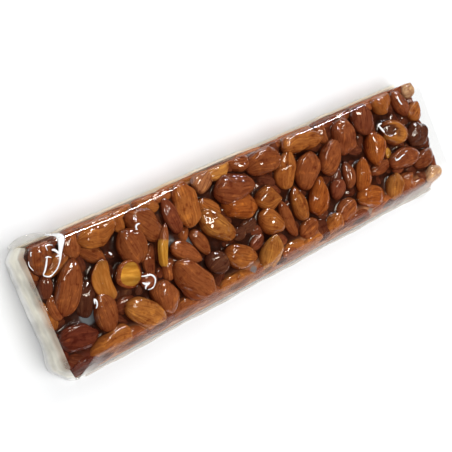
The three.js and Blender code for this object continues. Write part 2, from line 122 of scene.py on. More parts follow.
# x, y, heading in degrees, length, width, rise of the middle, tone and, where it is not whole, kind
TOP_NUTS = [
    # left end
    (-115.5, 24.5, 75, 15, 11, 12.6, "brown"),
    (-110.5, 18.8, 12, 15, 8, 12.0, "amber"),
    (-118.4, 12.5, 72, 11, 7, 11.6, "deep"),
    (-117.8, 3.0, 100, 12, 8, 11.4, "brown"),
    (-109, 8, 52, 25, 13, 13.2, "brown"),
    (-103.5, 0.5, 58, 17, 9, 10.4, "dark"),
    (-113, -12.5, -12, 19, 12, 12.4, "maroon"),
    (-113.5, -23, 0, 15, 8, 10.6, "maroon"),
    (-97.5, -8.5, 95, 17, 12, 12.2, "brown"),
    (-99.5, -21, 5, 22, 12.5, 12.6, "amber", STUB),
    (-94.7, 4, 84, 18, 9.5, 13.4, "ochre", CRESCENT),
    (-81.5, 2, -20, 13.5, 13, 14.2, "yellow", HALF),
    (-88, 24, -4, 21, 13, 13.0, "amber"),
    (-93, 17.5, -48, 17, 8, 10.6, "brown"),
    (-100.5, 24, 70, 14, 10, 11.6, "brown"),
    (-76, 25, 80, 10, 7, 11.6, "amber"),
    (-74, 11.5, -70, 17, 15, 12.6, "brown"),
    (-63.5, 19, -42, 21, 14, 12.2, "brown"),
    (-60.2, 7.6, 64, 20, 4.6, 14.0, "yellow", SLIVER),
    (-60.5, -3.5, 80, 11, 8, 10.8, "brown"),
    (-68, 3.5, 62, 14, 7, 11.2, "russet"),
    (-72, -4.5, 10, 10, 8, 11.6, "red"),
    (-79.2, -17.4, -38, 23, 13.5, 13.2, "gold"),
    (-86.5, -9.5, 0, 12, 8, 10.4, "red"),
    (-68.5, -13.5, 60, 15, 13, 12.0, "brown"),
    (-86, -24.5, -8, 13, 8, 9.4, "brown"),
    # left of the middle
    (-51.5, -14.8, -50, 26, 15, 13.0, "brown"),
    (-59.5, -22, 4, 18, 10, 10.8, "brown"),
    (-49.5, 17, 98, 18, 9, 12.6, "red"),
    (-46.5, 7.5, 30, 8, 6, 10.6, "brown"),
    (-40, 20, 76, 23, 14, 13.2, "amber"),
    (-59.5, 26.5, -15, 13, 9, 11.0, "amber"),
    (-49.5, 27.5, 0, 13, 7, 10.8, "brown"),
    (-27, 26, 40, 13, 11, 12.0, "tan"),
    (-17, 28, 5, 15, 10, 12.4, "honey"),
    (-28.8, 12.2, -42, 15, 9, 11.8, "amber"),
    (-28.6, 3.8, -40, 23, 12.5, 13.2, "gold"),
    (-49.5, -0.5, -40, 18, 9, 12.4, "brown"),
    (-40, 0.5, -62, 15, 8, 11.6, "brown"),
    (-35.5, -11.5, 20, 13, 12, 12.4, "dark"),
    (-22.8, -13.6, -32, 19, 13, 13.0, "amber"),
    (-30, -22.6, 0, 20, 11, 11.0, "amber"),
    (-18, -3.5, 10, 10, 7, 11.0, "dark"),
    (-12.5, 17.2, -24, 23, 16, 13.4, "russet"),
    (-12, 9.5, -18, 23, 15, 10.6, "orange"),
    (-11, -2.5, 10, 11, 7, 10.6, "dark"),
    (-5.5, -18.5, 62, 21, 15, 12.6, "honey"),
    (-10, -11.5, 12, 11, 7, 11.0, "red"),
    (-3.5, 27, -10, 15, 10, 11.4, "brown"),
    # right of the middle
    (5, 5.5, -22, 16, 11, 12.4, "amber"),
    (1, -5.5, -40, 16, 13, 12.6, "amber"),
    (11, -7.5, 95, 20, 8, 12.4, "brown"),
    (9.5, 23, -10, 21, 14, 13.2, "brown"),
    (20.5, 14.5, 62, 20, 12, 12.0, "amber"),
    (8.5, 13.5, -28, 12, 7, 10.4, "deep"),
    (21, -3.5, 82, 17, 10, 12.4, "amber"),
    (23, -16.5, 20, 14, 10, 11.8, "brown"),
    (11.5, -21.6, -6, 18, 9, 11.0, "amber"),
    (25, -23.5, 0, 12, 7, 9.4, "amber"),
    (37, 24.8, -9, 28, 12.5, 13.0, "amber"),
    (51, 23.5, 80, 12, 8, 11.8, "brown"),
    (33.5, 10, 58, 21, 15, 13.0, "brown"),
    (34.5, -4.5, 46, 21, 13, 13.2, "orange"),
    (50.5, 11, 30, 20, 13, 13.4, "brown"),
    (64, 18.5, 72, 22, 15.5, 12.8, "russet"),
    (50.5, 0.5, 30, 11, 6, 11.0, "deep"),
    (48.5, -5.5, 35, 12, 9, 12.0, "red"),
    (58.5, -1.5, 80, 15, 8, 12.0, "russet"),
    (67, -4.5, 66, 18, 11, 13.0, "orange"),
    (68.5, -16.5, -14, 20, 12, 13.0, "orange"),
    (39, -21, 62, 16, 13, 12.0, "amber"),
    (50.5, -17.5, 32, 15, 12, 12.2, "brown"),
    (63, -25.5, 0, 12, 7, 8.6, "brown"),
    (80.5, 21.5, 68, 18.5, 15.5, 12.8, "red"),
    (81.5, 6, 48, 19, 14, 13.2, "orange"),
    (82.5, -5.5, 4, 17, 7, 11.2, "russet"),
    (75.5, 11.5, 60, 11, 6, 10.4, "deep"),
    # right end
    (97.5, 26, -78, 16, 14, 12.6, "amber"),
    (98.8, 8, -32, 20, 14, 13.0, "brown", TORN),
    (111, 20.5, -66, 18, 10.5, 12.4, "russet"),
    (121, 26.5, 10, 12, 9, 12.2, "pale"),
    (120, 14, 35, 13, 10, 12.2, "amber"),
    (116, 2.5, 20, 18, 15, 12.4, "dark"),
    (99, -6.5, -6, 24, 11, 13.2, "russet"),
    (90, -0.5, 60, 7, 5, 12.0, "yellow", HALF),
    (86.5, -17.5, 78, 15, 13, 12.4, "gold"),
    (98.3, -20, -42, 17, 14, 11.6, "brown"),
    (94.5, -11, -8, 10, 6, 10.4, "red"),
    (114, -11.5, 15, 17, 10, 12.0, "russet"),
    (118, -21.8, 35, 15, 12, 12.0, "pale"),
]


# ---------------------------------------------------------------- the bar's section
def near_side(z, inset=0.0):
    slope = NEAR_LEAN / HEIGHT
    return -BASE_WIDTH / 2 + slope * z + inset * math.hypot(1, slope)


def far_side(z, inset=0.0):
    slope = FAR_LEAN / HEIGHT
    return BASE_WIDTH / 2 - slope * z - inset * math.hypot(1, slope)


def film_far_side(z):
    """The film's far side bulges a little at its foot."""
    return far_side(z) + FAR_FOOT_SWELL * (1 - z / HEIGHT)


def tuck(y):
    """How far the film is drawn in at the two corners of the left end."""
    near, far = LEFT_CORNERS
    return CORNER_DRAW * (np.maximum(0, near - y) + np.maximum(0, y - far))


def left_end(y, inset):
    return -BAR_LENGTH / 2 + tuck(y) + inset


def smoothstep(low, high, value):
    t = np.clip((value - low) / (high - low), 0.0, 1.0)
    return t * t * (3 - 2 * t)


class Repeatable:
    """The same draws as the solids' own rule makes."""

    def __init__(self, seed):
        self.state = seed

    def __call__(self):
        self.state = (self.state * 16807) % 2147483647
        return self.state / 2147483647

    def scatter(self, size):
        return (self() - 0.5) * 2 * size


# ---------------------------------------------------------------- small helpers
def mesh_object(name, verts, faces, smooth=True):
    mesh = bpy.data.meshes.new(name)
    mesh.from_pydata([tuple(v) for v in np.asarray(verts) * MM], [], [tuple(f) for f in faces])
    mesh.validate()
    mesh.update()
    if smooth:
        mesh.shade_smooth()
    obj = bpy.data.objects.new(name, mesh)
    SCENE.collection.objects.link(obj)
    return obj


def put_attribute(obj, name, values):
    """A value, a vector or a colour for each vertex, told apart by how many numbers each has."""
    values = np.asarray(values, np.float32)
    width = 1 if values.ndim == 1 else values.shape[1]
    kind, field = {1: ("FLOAT", "value"), 3: ("FLOAT_VECTOR", "vector"), 4: ("FLOAT_COLOR", "color")}[width]
    obj.data.attributes.new(name, kind, "POINT").data.foreach_set(field, values.ravel())


def dress(obj, material):
    obj.data.materials.clear()
    obj.data.materials.append(material)
    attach(obj, "root")


def grid_faces(rows, columns, closed):
    """Quads between rings of points. The last column joins the first when closed."""
    faces = []
    for i in range(rows - 1):
        for j in range(columns if closed else columns - 1):
            k = (j + 1) % columns
            faces.append((i * columns + j, i * columns + k, (i + 1) * columns + k, (i + 1) * columns + j))
    return faces


def capped_tube(rows, columns):
    """Faces round a tube of rings, turned outwards, and over its two ends."""
    last = (rows - 1) * columns
    around = [quad[::-1] for quad in grid_faces(rows, columns, True)]
    return [*around, tuple(range(columns)), tuple(last + j for j in reversed(range(columns)))]


# where the food begins to be pressed to the film and where it is fully so, in metres across the bar
NEAR_PRESSED = (-0.0195, -0.0235)
FAR_PRESSED = (0.0283, 0.0296)


class Nodes:
    """Short forms for building a material's node tree."""

    def __init__(self, name):
        self.material = bpy.data.materials.new(name)
        self.material.use_nodes = True
        self.tree = self.material.node_tree
        self.tree.nodes.clear()
        self.output = self.tree.nodes.new("ShaderNodeOutputMaterial")

    def feed(self, made, key, value):
        socket = made.inputs[key]
        if isinstance(value, bpy.types.NodeSocket):
            self.tree.links.new(value, socket)
        else:
            socket.default_value = value

    def node(self, kind, settings=None, **inputs):
        made = self.tree.nodes.new(kind)
        for key, value in (settings or {}).items():
            setattr(made, key, value)
        for key, value in inputs.items():
            self.feed(made, key.replace("_", " "), value)
        return made

    def math(self, operation, a, b=0.0, clamp=False):
        made = self.node("ShaderNodeMath", {"operation": operation, "use_clamp": clamp})
        self.feed(made, 0, a)
        self.feed(made, 1, b)
        return made.outputs[0]

    def ramp(self, value, low, high, to_low=0.0, to_high=1.0):
        made = self.node("ShaderNodeMapRange", {"interpolation_type": "SMOOTHSTEP"}, Value=value)
        for key, number in (("From Min", low), ("From Max", high), ("To Min", to_low), ("To Max", to_high)):
            made.inputs[key].default_value = number
        return made.outputs[0]

    def mix(self, factor, a, b, blend="MIX"):
        made = self.node("ShaderNodeMix", {"data_type": "RGBA", "blend_type": blend})
        for i, value in ((0, factor), (6, a), (7, b)):
            self.feed(made, i, value)
        return made.outputs[2]

    def times(self, colour, factors):
        return self.mix(1.0, colour, (*factors, 1), "MULTIPLY")

    def toned(self, colour, share, factors):
        """The colour, with a share of it multiplied by the factors."""
        return self.mix(share, colour, self.times(colour, factors))

    def noise(self, vector, scale, detail=3.0, rough=0.55):
        made = self.node("ShaderNodeTexNoise", Vector=vector, Scale=scale, Detail=detail, Roughness=rough)
        return made.outputs["Fac"]

    def stretched(self, vector, scale):
        return self.node("ShaderNodeMapping", Vector=vector, Scale=scale).outputs[0]

    def attribute(self, name, output="Fac"):
        return self.node("ShaderNodeAttribute", {"attribute_name": name}).outputs[output]

    def place(self):
        return self.node("ShaderNodeTexCoord").outputs["Object"]

    def coordinate(self, place, axis):
        return self.node("ShaderNodeSeparateXYZ", Vector=place).outputs[axis]

    def off_film(self, place, near=NEAR_PRESSED, far=FAR_PRESSED):
        """1 where the food is clear of the film and less at its two sides, where it is pressed to it."""
        across = self.coordinate(place, "Y")
        clear_near = self.ramp(across, *near, 1.0, 0.12)
        return self.math("MULTIPLY", clear_near, self.ramp(across, *far, 1.0, 0.2))

    def bump(self, height, distance, strength=1.0):
        return self.node("ShaderNodeBump", Height=height, Distance=distance, Strength=strength).outputs[0]

    def blend(self, share, first, second):
        made = self.node("ShaderNodeMixShader", Fac=share)
        for socket, shader in zip(made.inputs[1:], (first, second)):
            self.tree.links.new(shader.outputs[0], socket)
        return made

    def finish(self, shader):
        self.tree.links.new(shader.outputs[0], self.output.inputs["Surface"])
        return self.material


# ---------------------------------------------------------------- materials
# how each layer changes the skin under it: mask, where it starts and is full, share, red, green and blue
SKIN_LAYERS = [
    ("streaks", 0.50, 0.70, 0.55, (1.75, 2.1, 1.9)),
    ("lines", 0.50, 0.34, 0.6, (0.50, 0.36, 0.34)),
    ("mottle", 0.55, 0.72, 0.7, (1.65, 1.80, 1.45)),
    ("mottle", 0.47, 0.30, 0.85, (0.56, 0.38, 0.36)),
    ("patches", 0.46, 0.70, 0.6, (0.66, 0.50, 0.46)),
]


def nut_material():
    """Skin in streaks from tip to tip, under clear caramel. The tint comes with each nut."""
    n = Nodes("almond_skin")
    grain = n.attribute("grain", "Vector")
    tint = n.attribute("tint", "Color")
    rise = n.attribute("rise")
    place = n.place()
    free = n.off_film(place)

    masks = {
        "streaks": n.noise(n.stretched(grain, (0.10, 0.85, 0.85)), 1.0, 4.0, 0.62),
        "lines": n.noise(n.stretched(grain, (0.13, 1.7, 1.7)), 1.0, 2.0, 0.5),
        "patches": n.noise(n.stretched(grain, (0.10, 0.22, 0.22)), 1.0, 2.0),
        "mottle": n.noise(place, 330.0, 3.0, 0.6),
    }
    skin = tint
    for mask, start, full, share, factors in SKIN_LAYERS:
        skin = n.toned(skin, n.ramp(masks[mask], start, full, 0.0, share), factors)
    # Darker down each nut's lower sides towards the caramel: partly a thicker glaze of caramel, partly
    # painted shade.
    flank_shade = n.math("MULTIPLY", n.ramp(rise, 0.88, 0.50, 0.0, 0.9), free)
    depth = n.math("MULTIPLY", n.ramp(rise, 0.62, 0.36), free)
    glazed_and_shaded = n.toned(n.toned(skin, flank_shade, (0.62, 0.44, 0.42)), depth, (0.34, 0.22, 0.24))

    fibres = n.noise(n.stretched(grain, (0.18, 0.8, 0.8)), 1.0, 3.0)
    dull, bright = n.times(tint, (0.88, 0.80, 0.70)), n.times(tint, (1.12, 1.18, 1.3))
    colour = n.mix(n.attribute("cut"), glazed_and_shaded, n.mix(n.ramp(fibres, 0.40, 0.66), dull, bright))
    # Painted light: the nuts are made lighter along the far edge, over the shade that lies there.
    far_painted_light = n.ramp(n.coordinate(place, "Y"), 0.0285, 0.0302)

    wrinkles = n.noise(n.stretched(grain, (0.10, 0.42, 0.42)), 1.0, 0.0)
    glaze = n.math("ADD", n.noise(place, 280.0, 1.0), n.math("MULTIPLY", wrinkles, 0.9))
    return n.finish(n.node(
        "ShaderNodeBsdfPrincipled", Base_Color=n.toned(colour, far_painted_light, (1.7, 1.6, 1.4)),
        Roughness=0.75, Specular_IOR_Level=0.04, Normal=n.bump(masks["streaks"], 0.00045, 0.9),
        Coat_Weight=free, Coat_Roughness=0.03, Coat_IOR=1.55, Coat_Normal=n.bump(glaze, 0.0005, 0.85),
    ))


def caramel_material():
    """Burnt sugar: near black low down, partly deep caramel and partly painted shade between the nuts;
    red-brown where it climbs the nuts; paler against the film, partly thin caramel and partly painted light.
    """
    n = Nodes("caramel")
    place = n.place()
    cloudy = n.noise(place, 190.0, 3.0)
    # Painted shade, partly deep caramel: near black low down between the nuts, red-brown higher up where the
    # caramel climbs them.
    out_of_shade = n.ramp(n.coordinate(place, "Z"), 0.0108, 0.0150)
    brown = n.mix(out_of_shade, (0.030, 0.0080, 0.0040, 1), (0.110, 0.026, 0.009, 1))
    syrup = n.toned(brown, n.ramp(cloudy, 0.42, 0.68, 0.0, 0.8), (2.4, 2.0, 1.5))
    # Paler at the two sides against the film: partly thin caramel pressed on it, partly painted light that
    # lifts the shade in the gaps there. The left corner is kept dark.
    side_caramel_painted_light = n.mix(n.ramp(cloudy, 0.35, 0.6), (0.34, 0.10, 0.035, 1), (0.50, 0.21, 0.085, 1))
    left_corner = n.ramp(n.coordinate(place, "X"), -0.103, -0.110)
    side_caramel_painted_light = n.mix(left_corner, side_caramel_painted_light, (0.120, 0.024, 0.010, 1))
    pressed = n.mix(n.off_film(place, (-0.0175, -0.0220), (0.0262, 0.0280)), side_caramel_painted_light, syrup)
    wet_patches = n.ramp(n.noise(place, 170.0, 1.0), 0.44, 0.62, 0.12, 0.85)
    wet = n.math("MULTIPLY", n.off_film(place), wet_patches)
    # The grey patches on the caramel are a painted reflection.
    return n.finish(n.node(
        "ShaderNodeBsdfPrincipled", Base_Color=n.mix(n.attribute("painted_reflection"), pressed, (0.15, 0.16, 0.165, 1)),
        Roughness=0.3, Specular_IOR_Level=n.math("MULTIPLY", wet, 0.3), Coat_Weight=wet, Coat_Roughness=0.04,
        Normal=n.bump(n.noise(place, 300.0, 2.0), 0.0006, 0.8),
    ))


def wafer_material():
    """Cream with toasted clouds and a fine grain, stained by caramel along the near edge."""
    n = Nodes("wafer_sheet")
    place = n.place()
    toasted = n.noise(place, 60.0, 4.0)
    grain = n.noise(place, 900.0, 3.0)
    cream = n.mix(n.ramp(toasted, 0.38, 0.70), (1.0, 0.93, 0.78, 1), (0.97, 0.80, 0.54, 1))
    near_edge = n.ramp(n.coordinate(place, "Y"), -0.0270, -0.0290)
    stained = n.mix(near_edge, cream, (0.30, 0.115, 0.035, 1))
    return n.finish(n.node(
        "ShaderNodeBsdfPrincipled", Roughness=0.85, Normal=n.bump(grain, 0.0002, 0.5),
        Base_Color=n.mix(n.ramp(grain, 0.4, 0.62, 0.0, 0.35), stained, (1.0, 0.90, 0.68, 1)),
    ))


FACING_SHINE = 0.07
GRAZING_SHINE = 0.93


def film_material(name, low_milk, middle_milk, high_milk):
    """Clear film. It mirrors more at a slant; haze is how milky it is and shine how strongly it mirrors."""
    n = Nodes(name)
    place = n.place()
    height = n.coordinate(place, "Z")
    upper = n.mix(n.ramp(height, 0.010, 0.017), middle_milk, high_milk)
    smooth_fold = n.ramp(n.coordinate(place, "Y"), 0.020, 0.025, 1.0, 0.15)
    ripple = n.math("MULTIPLY", n.noise(n.stretched(place, (60.0, 160.0, 160.0)), 1.0, 2.0), smooth_fold)
    normal = n.bump(ripple, 0.0006, 0.3)
    grazing = n.math("POWER", n.node("ShaderNodeLayerWeight", Normal=normal).outputs["Facing"], 5.0)
    slanted = n.math("ADD", n.math("MULTIPLY", grazing, GRAZING_SHINE), FACING_SHINE, clamp=True)
    mirror = n.math("MULTIPLY", slanted, n.attribute("shine"), clamp=True)
    cloudy = n.ramp(n.noise(n.stretched(place, (120.0, 60.0, 60.0)), 1.0, 3.0), 0.3, 0.7, 0.6, 1.1)
    milkiness = n.math("MULTIPLY", n.attribute("haze"), cloudy, clamp=True)
    gloss = n.node("ShaderNodeBsdfGlossy", Color=(1, 1, 1, 1), Roughness=0.05, Normal=normal)
    clear = n.node("ShaderNodeBsdfTransparent", Color=(0.985, 0.985, 0.98, 1))
    milk_colour = n.mix(n.ramp(height, 0.001, 0.007), low_milk, upper)
    milky = n.node("ShaderNodeBsdfPrincipled", Base_Color=milk_colour, Roughness=0.35)
    return n.finish(n.blend(mirror, n.blend(milkiness, clear, milky), gloss))


# ---------------------------------------------------------------- nuts
# points round a nut and rings along it
FINE = (68, 28)
COARSE = (32, 16)
# waves round a nut and their height, and the fewest points that a wave needs
RIDGES = ((3, 0.11), (5, 0.085), (9, 0.055), (14, 0.045), (19, 0.032))
POINTS_PER_WAVE = 3.5
# powers of the nuts' outline across, and how far they bend and skew, as shares of length and width
BOXINESS = (0.80, 0.95)
MOST_BEND = 0.06
MOST_SKEW = 0.10
GRAIN_RADIUS = 6.0
STUB_END = 0.38
# a sliver's flesh is bare between these shares of its length
BARE_SLIVER = (-0.49, 0.06)
# the torn nut, in its own frame: its raised lip of flesh and a dark vein
TORN_LIP = (
    (-7.6, -4.4), (-3.6, -5.0), (1.2, -5.2), (5.0, -3.2), (5.6, 0.0), (2.6, 2.4), (-1.6, 4.2), (-5.4, 3.8),
)
TORN_VEIN = ((-3.2, 1.6), (-0.6, 0.4), (0.4, -2.0))
# its bare flesh and its dark hollow: centre, half length, half width and the levels where each fades
TORN_FLESH = (0.5, -0.8, 5.6, 4.6, 1.2, 0.8)
TORN_HOLLOW = (-5.4, -0.4, 4.2, 3.4, 1.15, 0.70)
LIP_WIDTH = 1.1
LIP_RISE = 0.5
HOLLOW_DEPTH = 0.9
VEIN_WIDTH = 0.8


def distance_to_line(points, line):
    best = np.full(len(points), 1e9)
    for a, b in zip(line[:-1], line[1:]):
        a, b = np.array(a, float), np.array(b, float)
        t = np.clip(((points - a) @ (b - a)) / ((b - a) @ (b - a)), 0, 1)
        best = np.minimum(best, np.linalg.norm(points - (a + t[:, None] * (b - a)), axis=1))
    return best


def almond_taper(u, kind):
    """Half-width along an almond from its blunt end at -1 to its tip at 1."""
    size = np.abs(u)

    def end(power, share):
        return np.clip(1 - size ** power, 0, 1) ** share

    if kind == SLIVER:
        return np.where(u < 0, end(9, 0.5), end(2.6, 0.9))
    if kind == STUB:
        return np.where(u < 0, end(2.0, 0.62), end(5, 0.5))
    return np.where(u < 0, end(2.3, 0.5), end(1.9, 0.72))


def ridge_height(theta, t, around, rng):
    """Long wrinkles in the skin: waves round the nut that wander as they run along it."""
    total = np.zeros_like(theta)
    for waves, height in RIDGES:
        phase, wander = rng.uniform(0, 2 * math.pi, 2)
        if waves * POINTS_PER_WAVE < around:
            total += height * np.sin(waves * theta + phase + 0.9 * np.sin(2.2 * t * math.pi + wander))
    return total


def boxed(angle, power):
    """The cosine and the sine of an angle, filled out towards a box as the power falls below 1."""
    return [np.sign(part) * np.abs(part) ** power for part in (np.cos(angle), np.sin(angle))]


def gauss(distance, width):
    return np.exp(-(distance / width) ** 2)


def nut_faces(rows, around):
    """Faces round a nut's rings, then fans from its first and last point, which come after the rings."""
    faces = [quad[::-1] for quad in grid_faces(rows, around, True)]
    first, last = rows * around, (rows - 1) * around
    for j in range(around):
        k = (j + 1) % around
        faces.append((first, j, k))
        faces.append((first + 1, last + k, last + j))
    return faces


def whole_nut(length, width, thickness, kind, rng, mesh):
    """Rings from end to end: vertices, faces, the skin's own coordinates and the share that is flesh."""
    around, along = mesh
    t = np.linspace(0, 1, along + 1)[1:-1]
    theta = np.arange(around) * 2 * math.pi / around
    tt, th = np.meshgrid(t, theta, indexing="ij")
    uu = -np.cos(math.pi * tt)
    taper = almond_taper(uu, kind)
    side, up = boxed(th, rng.uniform(*BOXINESS))
    ridge = 1 + ridge_height(th, tt, around, rng) * np.sin(math.pi * tt) ** 0.7 / (0.5 * width)
    bend = rng.uniform(-MOST_BEND, MOST_BEND) * length
    skew = rng.uniform(-MOST_SKEW, MOST_SKEW) * width
    x = 0.5 * length * uu
    y = 0.5 * width * taper * side * ridge + bend * uu ** 2 + skew * uu
    z = 0.5 * thickness * taper ** 0.85 * up * ridge
    half = 0.5 * length
    verts = np.stack([x, y, z], -1).reshape(-1, 3)
    verts = np.vstack([verts, [[-half, bend - skew, 0], [half, bend + skew, 0]]])
    grain = np.stack([x, GRAIN_RADIUS * np.cos(th), GRAIN_RADIUS * np.sin(th)], -1).reshape(-1, 3)
    grain = np.vstack([grain, [[-half, 0, 0], [half, 0, 0]]])
    cut = np.zeros(len(verts))
    upper = verts[:, 2] > 0
    if kind == SLIVER:
        low, high = (share * length for share in BARE_SLIVER)
        cut = ((verts[:, 0] > low) & (verts[:, 0] < high) & upper).astype(float)
    if kind == STUB:
        cut = (verts[:, 0] > STUB_END * length).astype(float)
        verts[:, 0] = np.minimum(verts[:, 0], STUB_END * length)
    if kind == TORN:
        lip = gauss(distance_to_line(verts[:, :2], TORN_LIP), LIP_WIDTH) * upper
        cut = smoothstep(0.30, 0.60, lip)
        verts[:, 2] += LIP_RISE * lip - HOLLOW_DEPTH * oval_share(verts, TORN_HOLLOW)
    return verts, nut_faces(along - 1, around), grain, cut


def oval_share(verts, oval):
    """1 on the upper side inside an oval, fading out over its rim."""
    x, y, half_x, half_y, outer, inner = oval
    inside = ((verts[:, 0] - x) / half_x) ** 2 + ((verts[:, 1] - y) / half_y) ** 2
    return smoothstep(outer, inner, inside) * (verts[:, 2] > 0)


def torn_skin(verts, skin):
    """Paints the bare flesh inside the torn nut's lip, then the dark vein and hollow in it."""
    vein = gauss(distance_to_line(verts[:, :2], TORN_VEIN), VEIN_WIDTH) * (verts[:, 2] > 0)
    dark = np.maximum(oval_share(verts, TORN_HOLLOW), vein)
    for share, tone in ((oval_share(verts, TORN_FLESH), "gold"), (dark, "dark")):
        skin = skin + share[:, None] * (np.array(TONES[tone]) - skin)
    return skin


# nuts with a cut face: the power of the outline, its bend and the share of it that the flat face takes up
CUT_SHAPE = {CRESCENT: (0.80, CRESCENT_BEND, 0.93), HALF: (0.95, 0.0, 0.80)}
# rings from the cut face's edge to the skin: radius, height over the face, share that is flesh
CUT_EDGE = {
    CRESCENT: [(0.965, -0.10, 0.3)],
    HALF: [(0.84, 0.30, 0.0), (0.92, 0.15, 0.0), (0.975, -0.45, 0.0)],
}
CUT_MESH = (56, 14, 10)
CUT_TOP = 0.16
SKIN_STEP = 0.25
SKIN_DEPTH = 0.62


def cut_nut(length, width, thickness, kind, rng):
    """Rings from the middle of the cut face, over its edge and down round the skin."""
    around, face_rings, skin_rings = CUT_MESH
    power, bend, edge = CUT_SHAPE[kind]
    theta = np.arange(around) * 2 * math.pi / around
    cos, sin = boxed(theta, power)
    wobble = 1 + 0.03 * np.sin(3 * theta + rng.uniform(0, 6)) + 0.02 * np.sin(5 * theta + rng.uniform(0, 6))
    top = CUT_TOP * thickness
    phase = rng.uniform(0, 6)
    verts, cut, light = [], [], []

    def ring(radius, height, share):
        x = 0.5 * length * radius * cos * wobble
        y = 0.5 * width * radius * sin * wobble
        inner = (1 - radius ** 4) * (share > 0.5)
        band = np.exp(-((y - 0.05 * width) / (0.17 * width)) ** 4)
        if kind == CRESCENT:
            relief = 0.15 * np.sin(x * 0.7 + phase) * inner
            shade = 1 - 0.25 * smoothstep(0.55, 0.95, radius) + 0.1 * np.sin(0.8 * y + phase)
        else:
            relief = (0.12 * np.sin(x * 1.1 + phase) - 0.35 * band) * inner
            shade = 0.72 + 0.50 * band
        verts.append(np.stack([x, y + bend * x * x, height + relief], -1))
        cut.append(np.full(around, share))
        light.append(shade if share > 0.5 else np.ones(around))

    for i in range(1, face_rings + 1):
        ring(edge * i / face_rings, top, 1.0)
    for radius, over, share in CUT_EDGE[kind]:
        ring(radius, top + over, share)
    skin_top = verts[-1][0, 2] - SKIN_STEP
    for i in range(skin_rings):
        angle = 0.5 * math.pi * i / skin_rings
        ring(math.cos(angle) ** 0.8, skin_top - SKIN_DEPTH * thickness * math.sin(angle), 0.0)
    rows = len(verts)
    verts = np.vstack(verts + [[[0, 0, top - 0.35], [0, 0, skin_top - SKIN_DEPTH * thickness]]])
    cut = np.concatenate(cut + [[1.0, 0.0]])
    light = np.concatenate(light + [[1.0, 1.0]])
    return verts, nut_faces(rows, around), cut, light


def lumpy(verts, size, reach, rng):
    """Moves points a little by smooth waves, so that no two nuts are alike."""
    moved = np.array(verts)
    for k in range(3):
        for _ in range(3):
            wave = rng.normal(size=3) / reach
            moved[:, k] += size * np.sin(verts @ wave + rng.uniform(0, 6.28))
    return moved


def rotation(lean_near, heading, dip, roll):
    """Rolls and dips a nut about its own axes, turns it to its heading, then leans it to the near side."""
    turns = ((lean_near, "X"), (heading, "Z"), (dip, "Y"), (roll, "X"))
    first, second, third, fourth = (Matrix.Rotation(angle, 3, axis) for angle, axis in turns)
    return np.array(first @ second @ third @ fourth)


FILM_CLEARANCE = 0.15
END_CLEARANCE = 0.5
SOFT_CEILING = 0.8
LOWEST_NUT = 0.9
# nuts cling to the near film below these heights, none at the first and fully at the second
CLING_HEIGHTS = (13.0, 9.0)
CLING_REACH = 4.0
CLING_POWER = 1.8


def inside_film(verts):
    """Presses what would stand out of the film flat against it."""
    inset = FILM + FILM_CLEARANCE
    out = np.array(verts)
    ceiling = HEIGHT - inset - SOFT_CEILING
    over = out[:, 2] - ceiling
    out[:, 2] = np.where(over > 0, ceiling + SOFT_CEILING * np.tanh(over / SOFT_CEILING), out[:, 2])
    out[:, 2] = np.maximum(out[:, 2], LOWEST_NUT)
    near = near_side(out[:, 2], inset)
    depth = out[:, 1] - near
    clung = near + CLING_REACH * np.clip(depth / CLING_REACH, 0, 1) ** CLING_POWER
    cling = smoothstep(*CLING_HEIGHTS, out[:, 2]) * (depth < CLING_REACH)
    out[:, 1] += cling * (clung - out[:, 1])
    rounding = np.maximum(0, out[:, 2] - (HEIGHT - FAR_ROUND)) / FAR_ROUND
    far = far_side(out[:, 2], inset + WAFER_LEDGE) - 0.55 * FAR_ROUND * rounding ** 2.2
    out[:, 1] = np.clip(out[:, 1], near, far)
    out[:, 0] = np.clip(out[:, 0], left_end(out[:, 1], END_CLEARANCE), BAR_LENGTH / 2 - END_CLEARANCE)
    return out


def nut_thickness(width, kind):
    return min(width * (SLIVER_THICKNESS if kind == SLIVER else NUT_THICKNESS), THICKEST_NUT)


LUMPS = 0.030
SMOOTH_LUMPS = 0.008
LUMP_REACH = 4.0
CORE_SIZE = 0.93
TINT_RANGE = (0.88, 1.12)


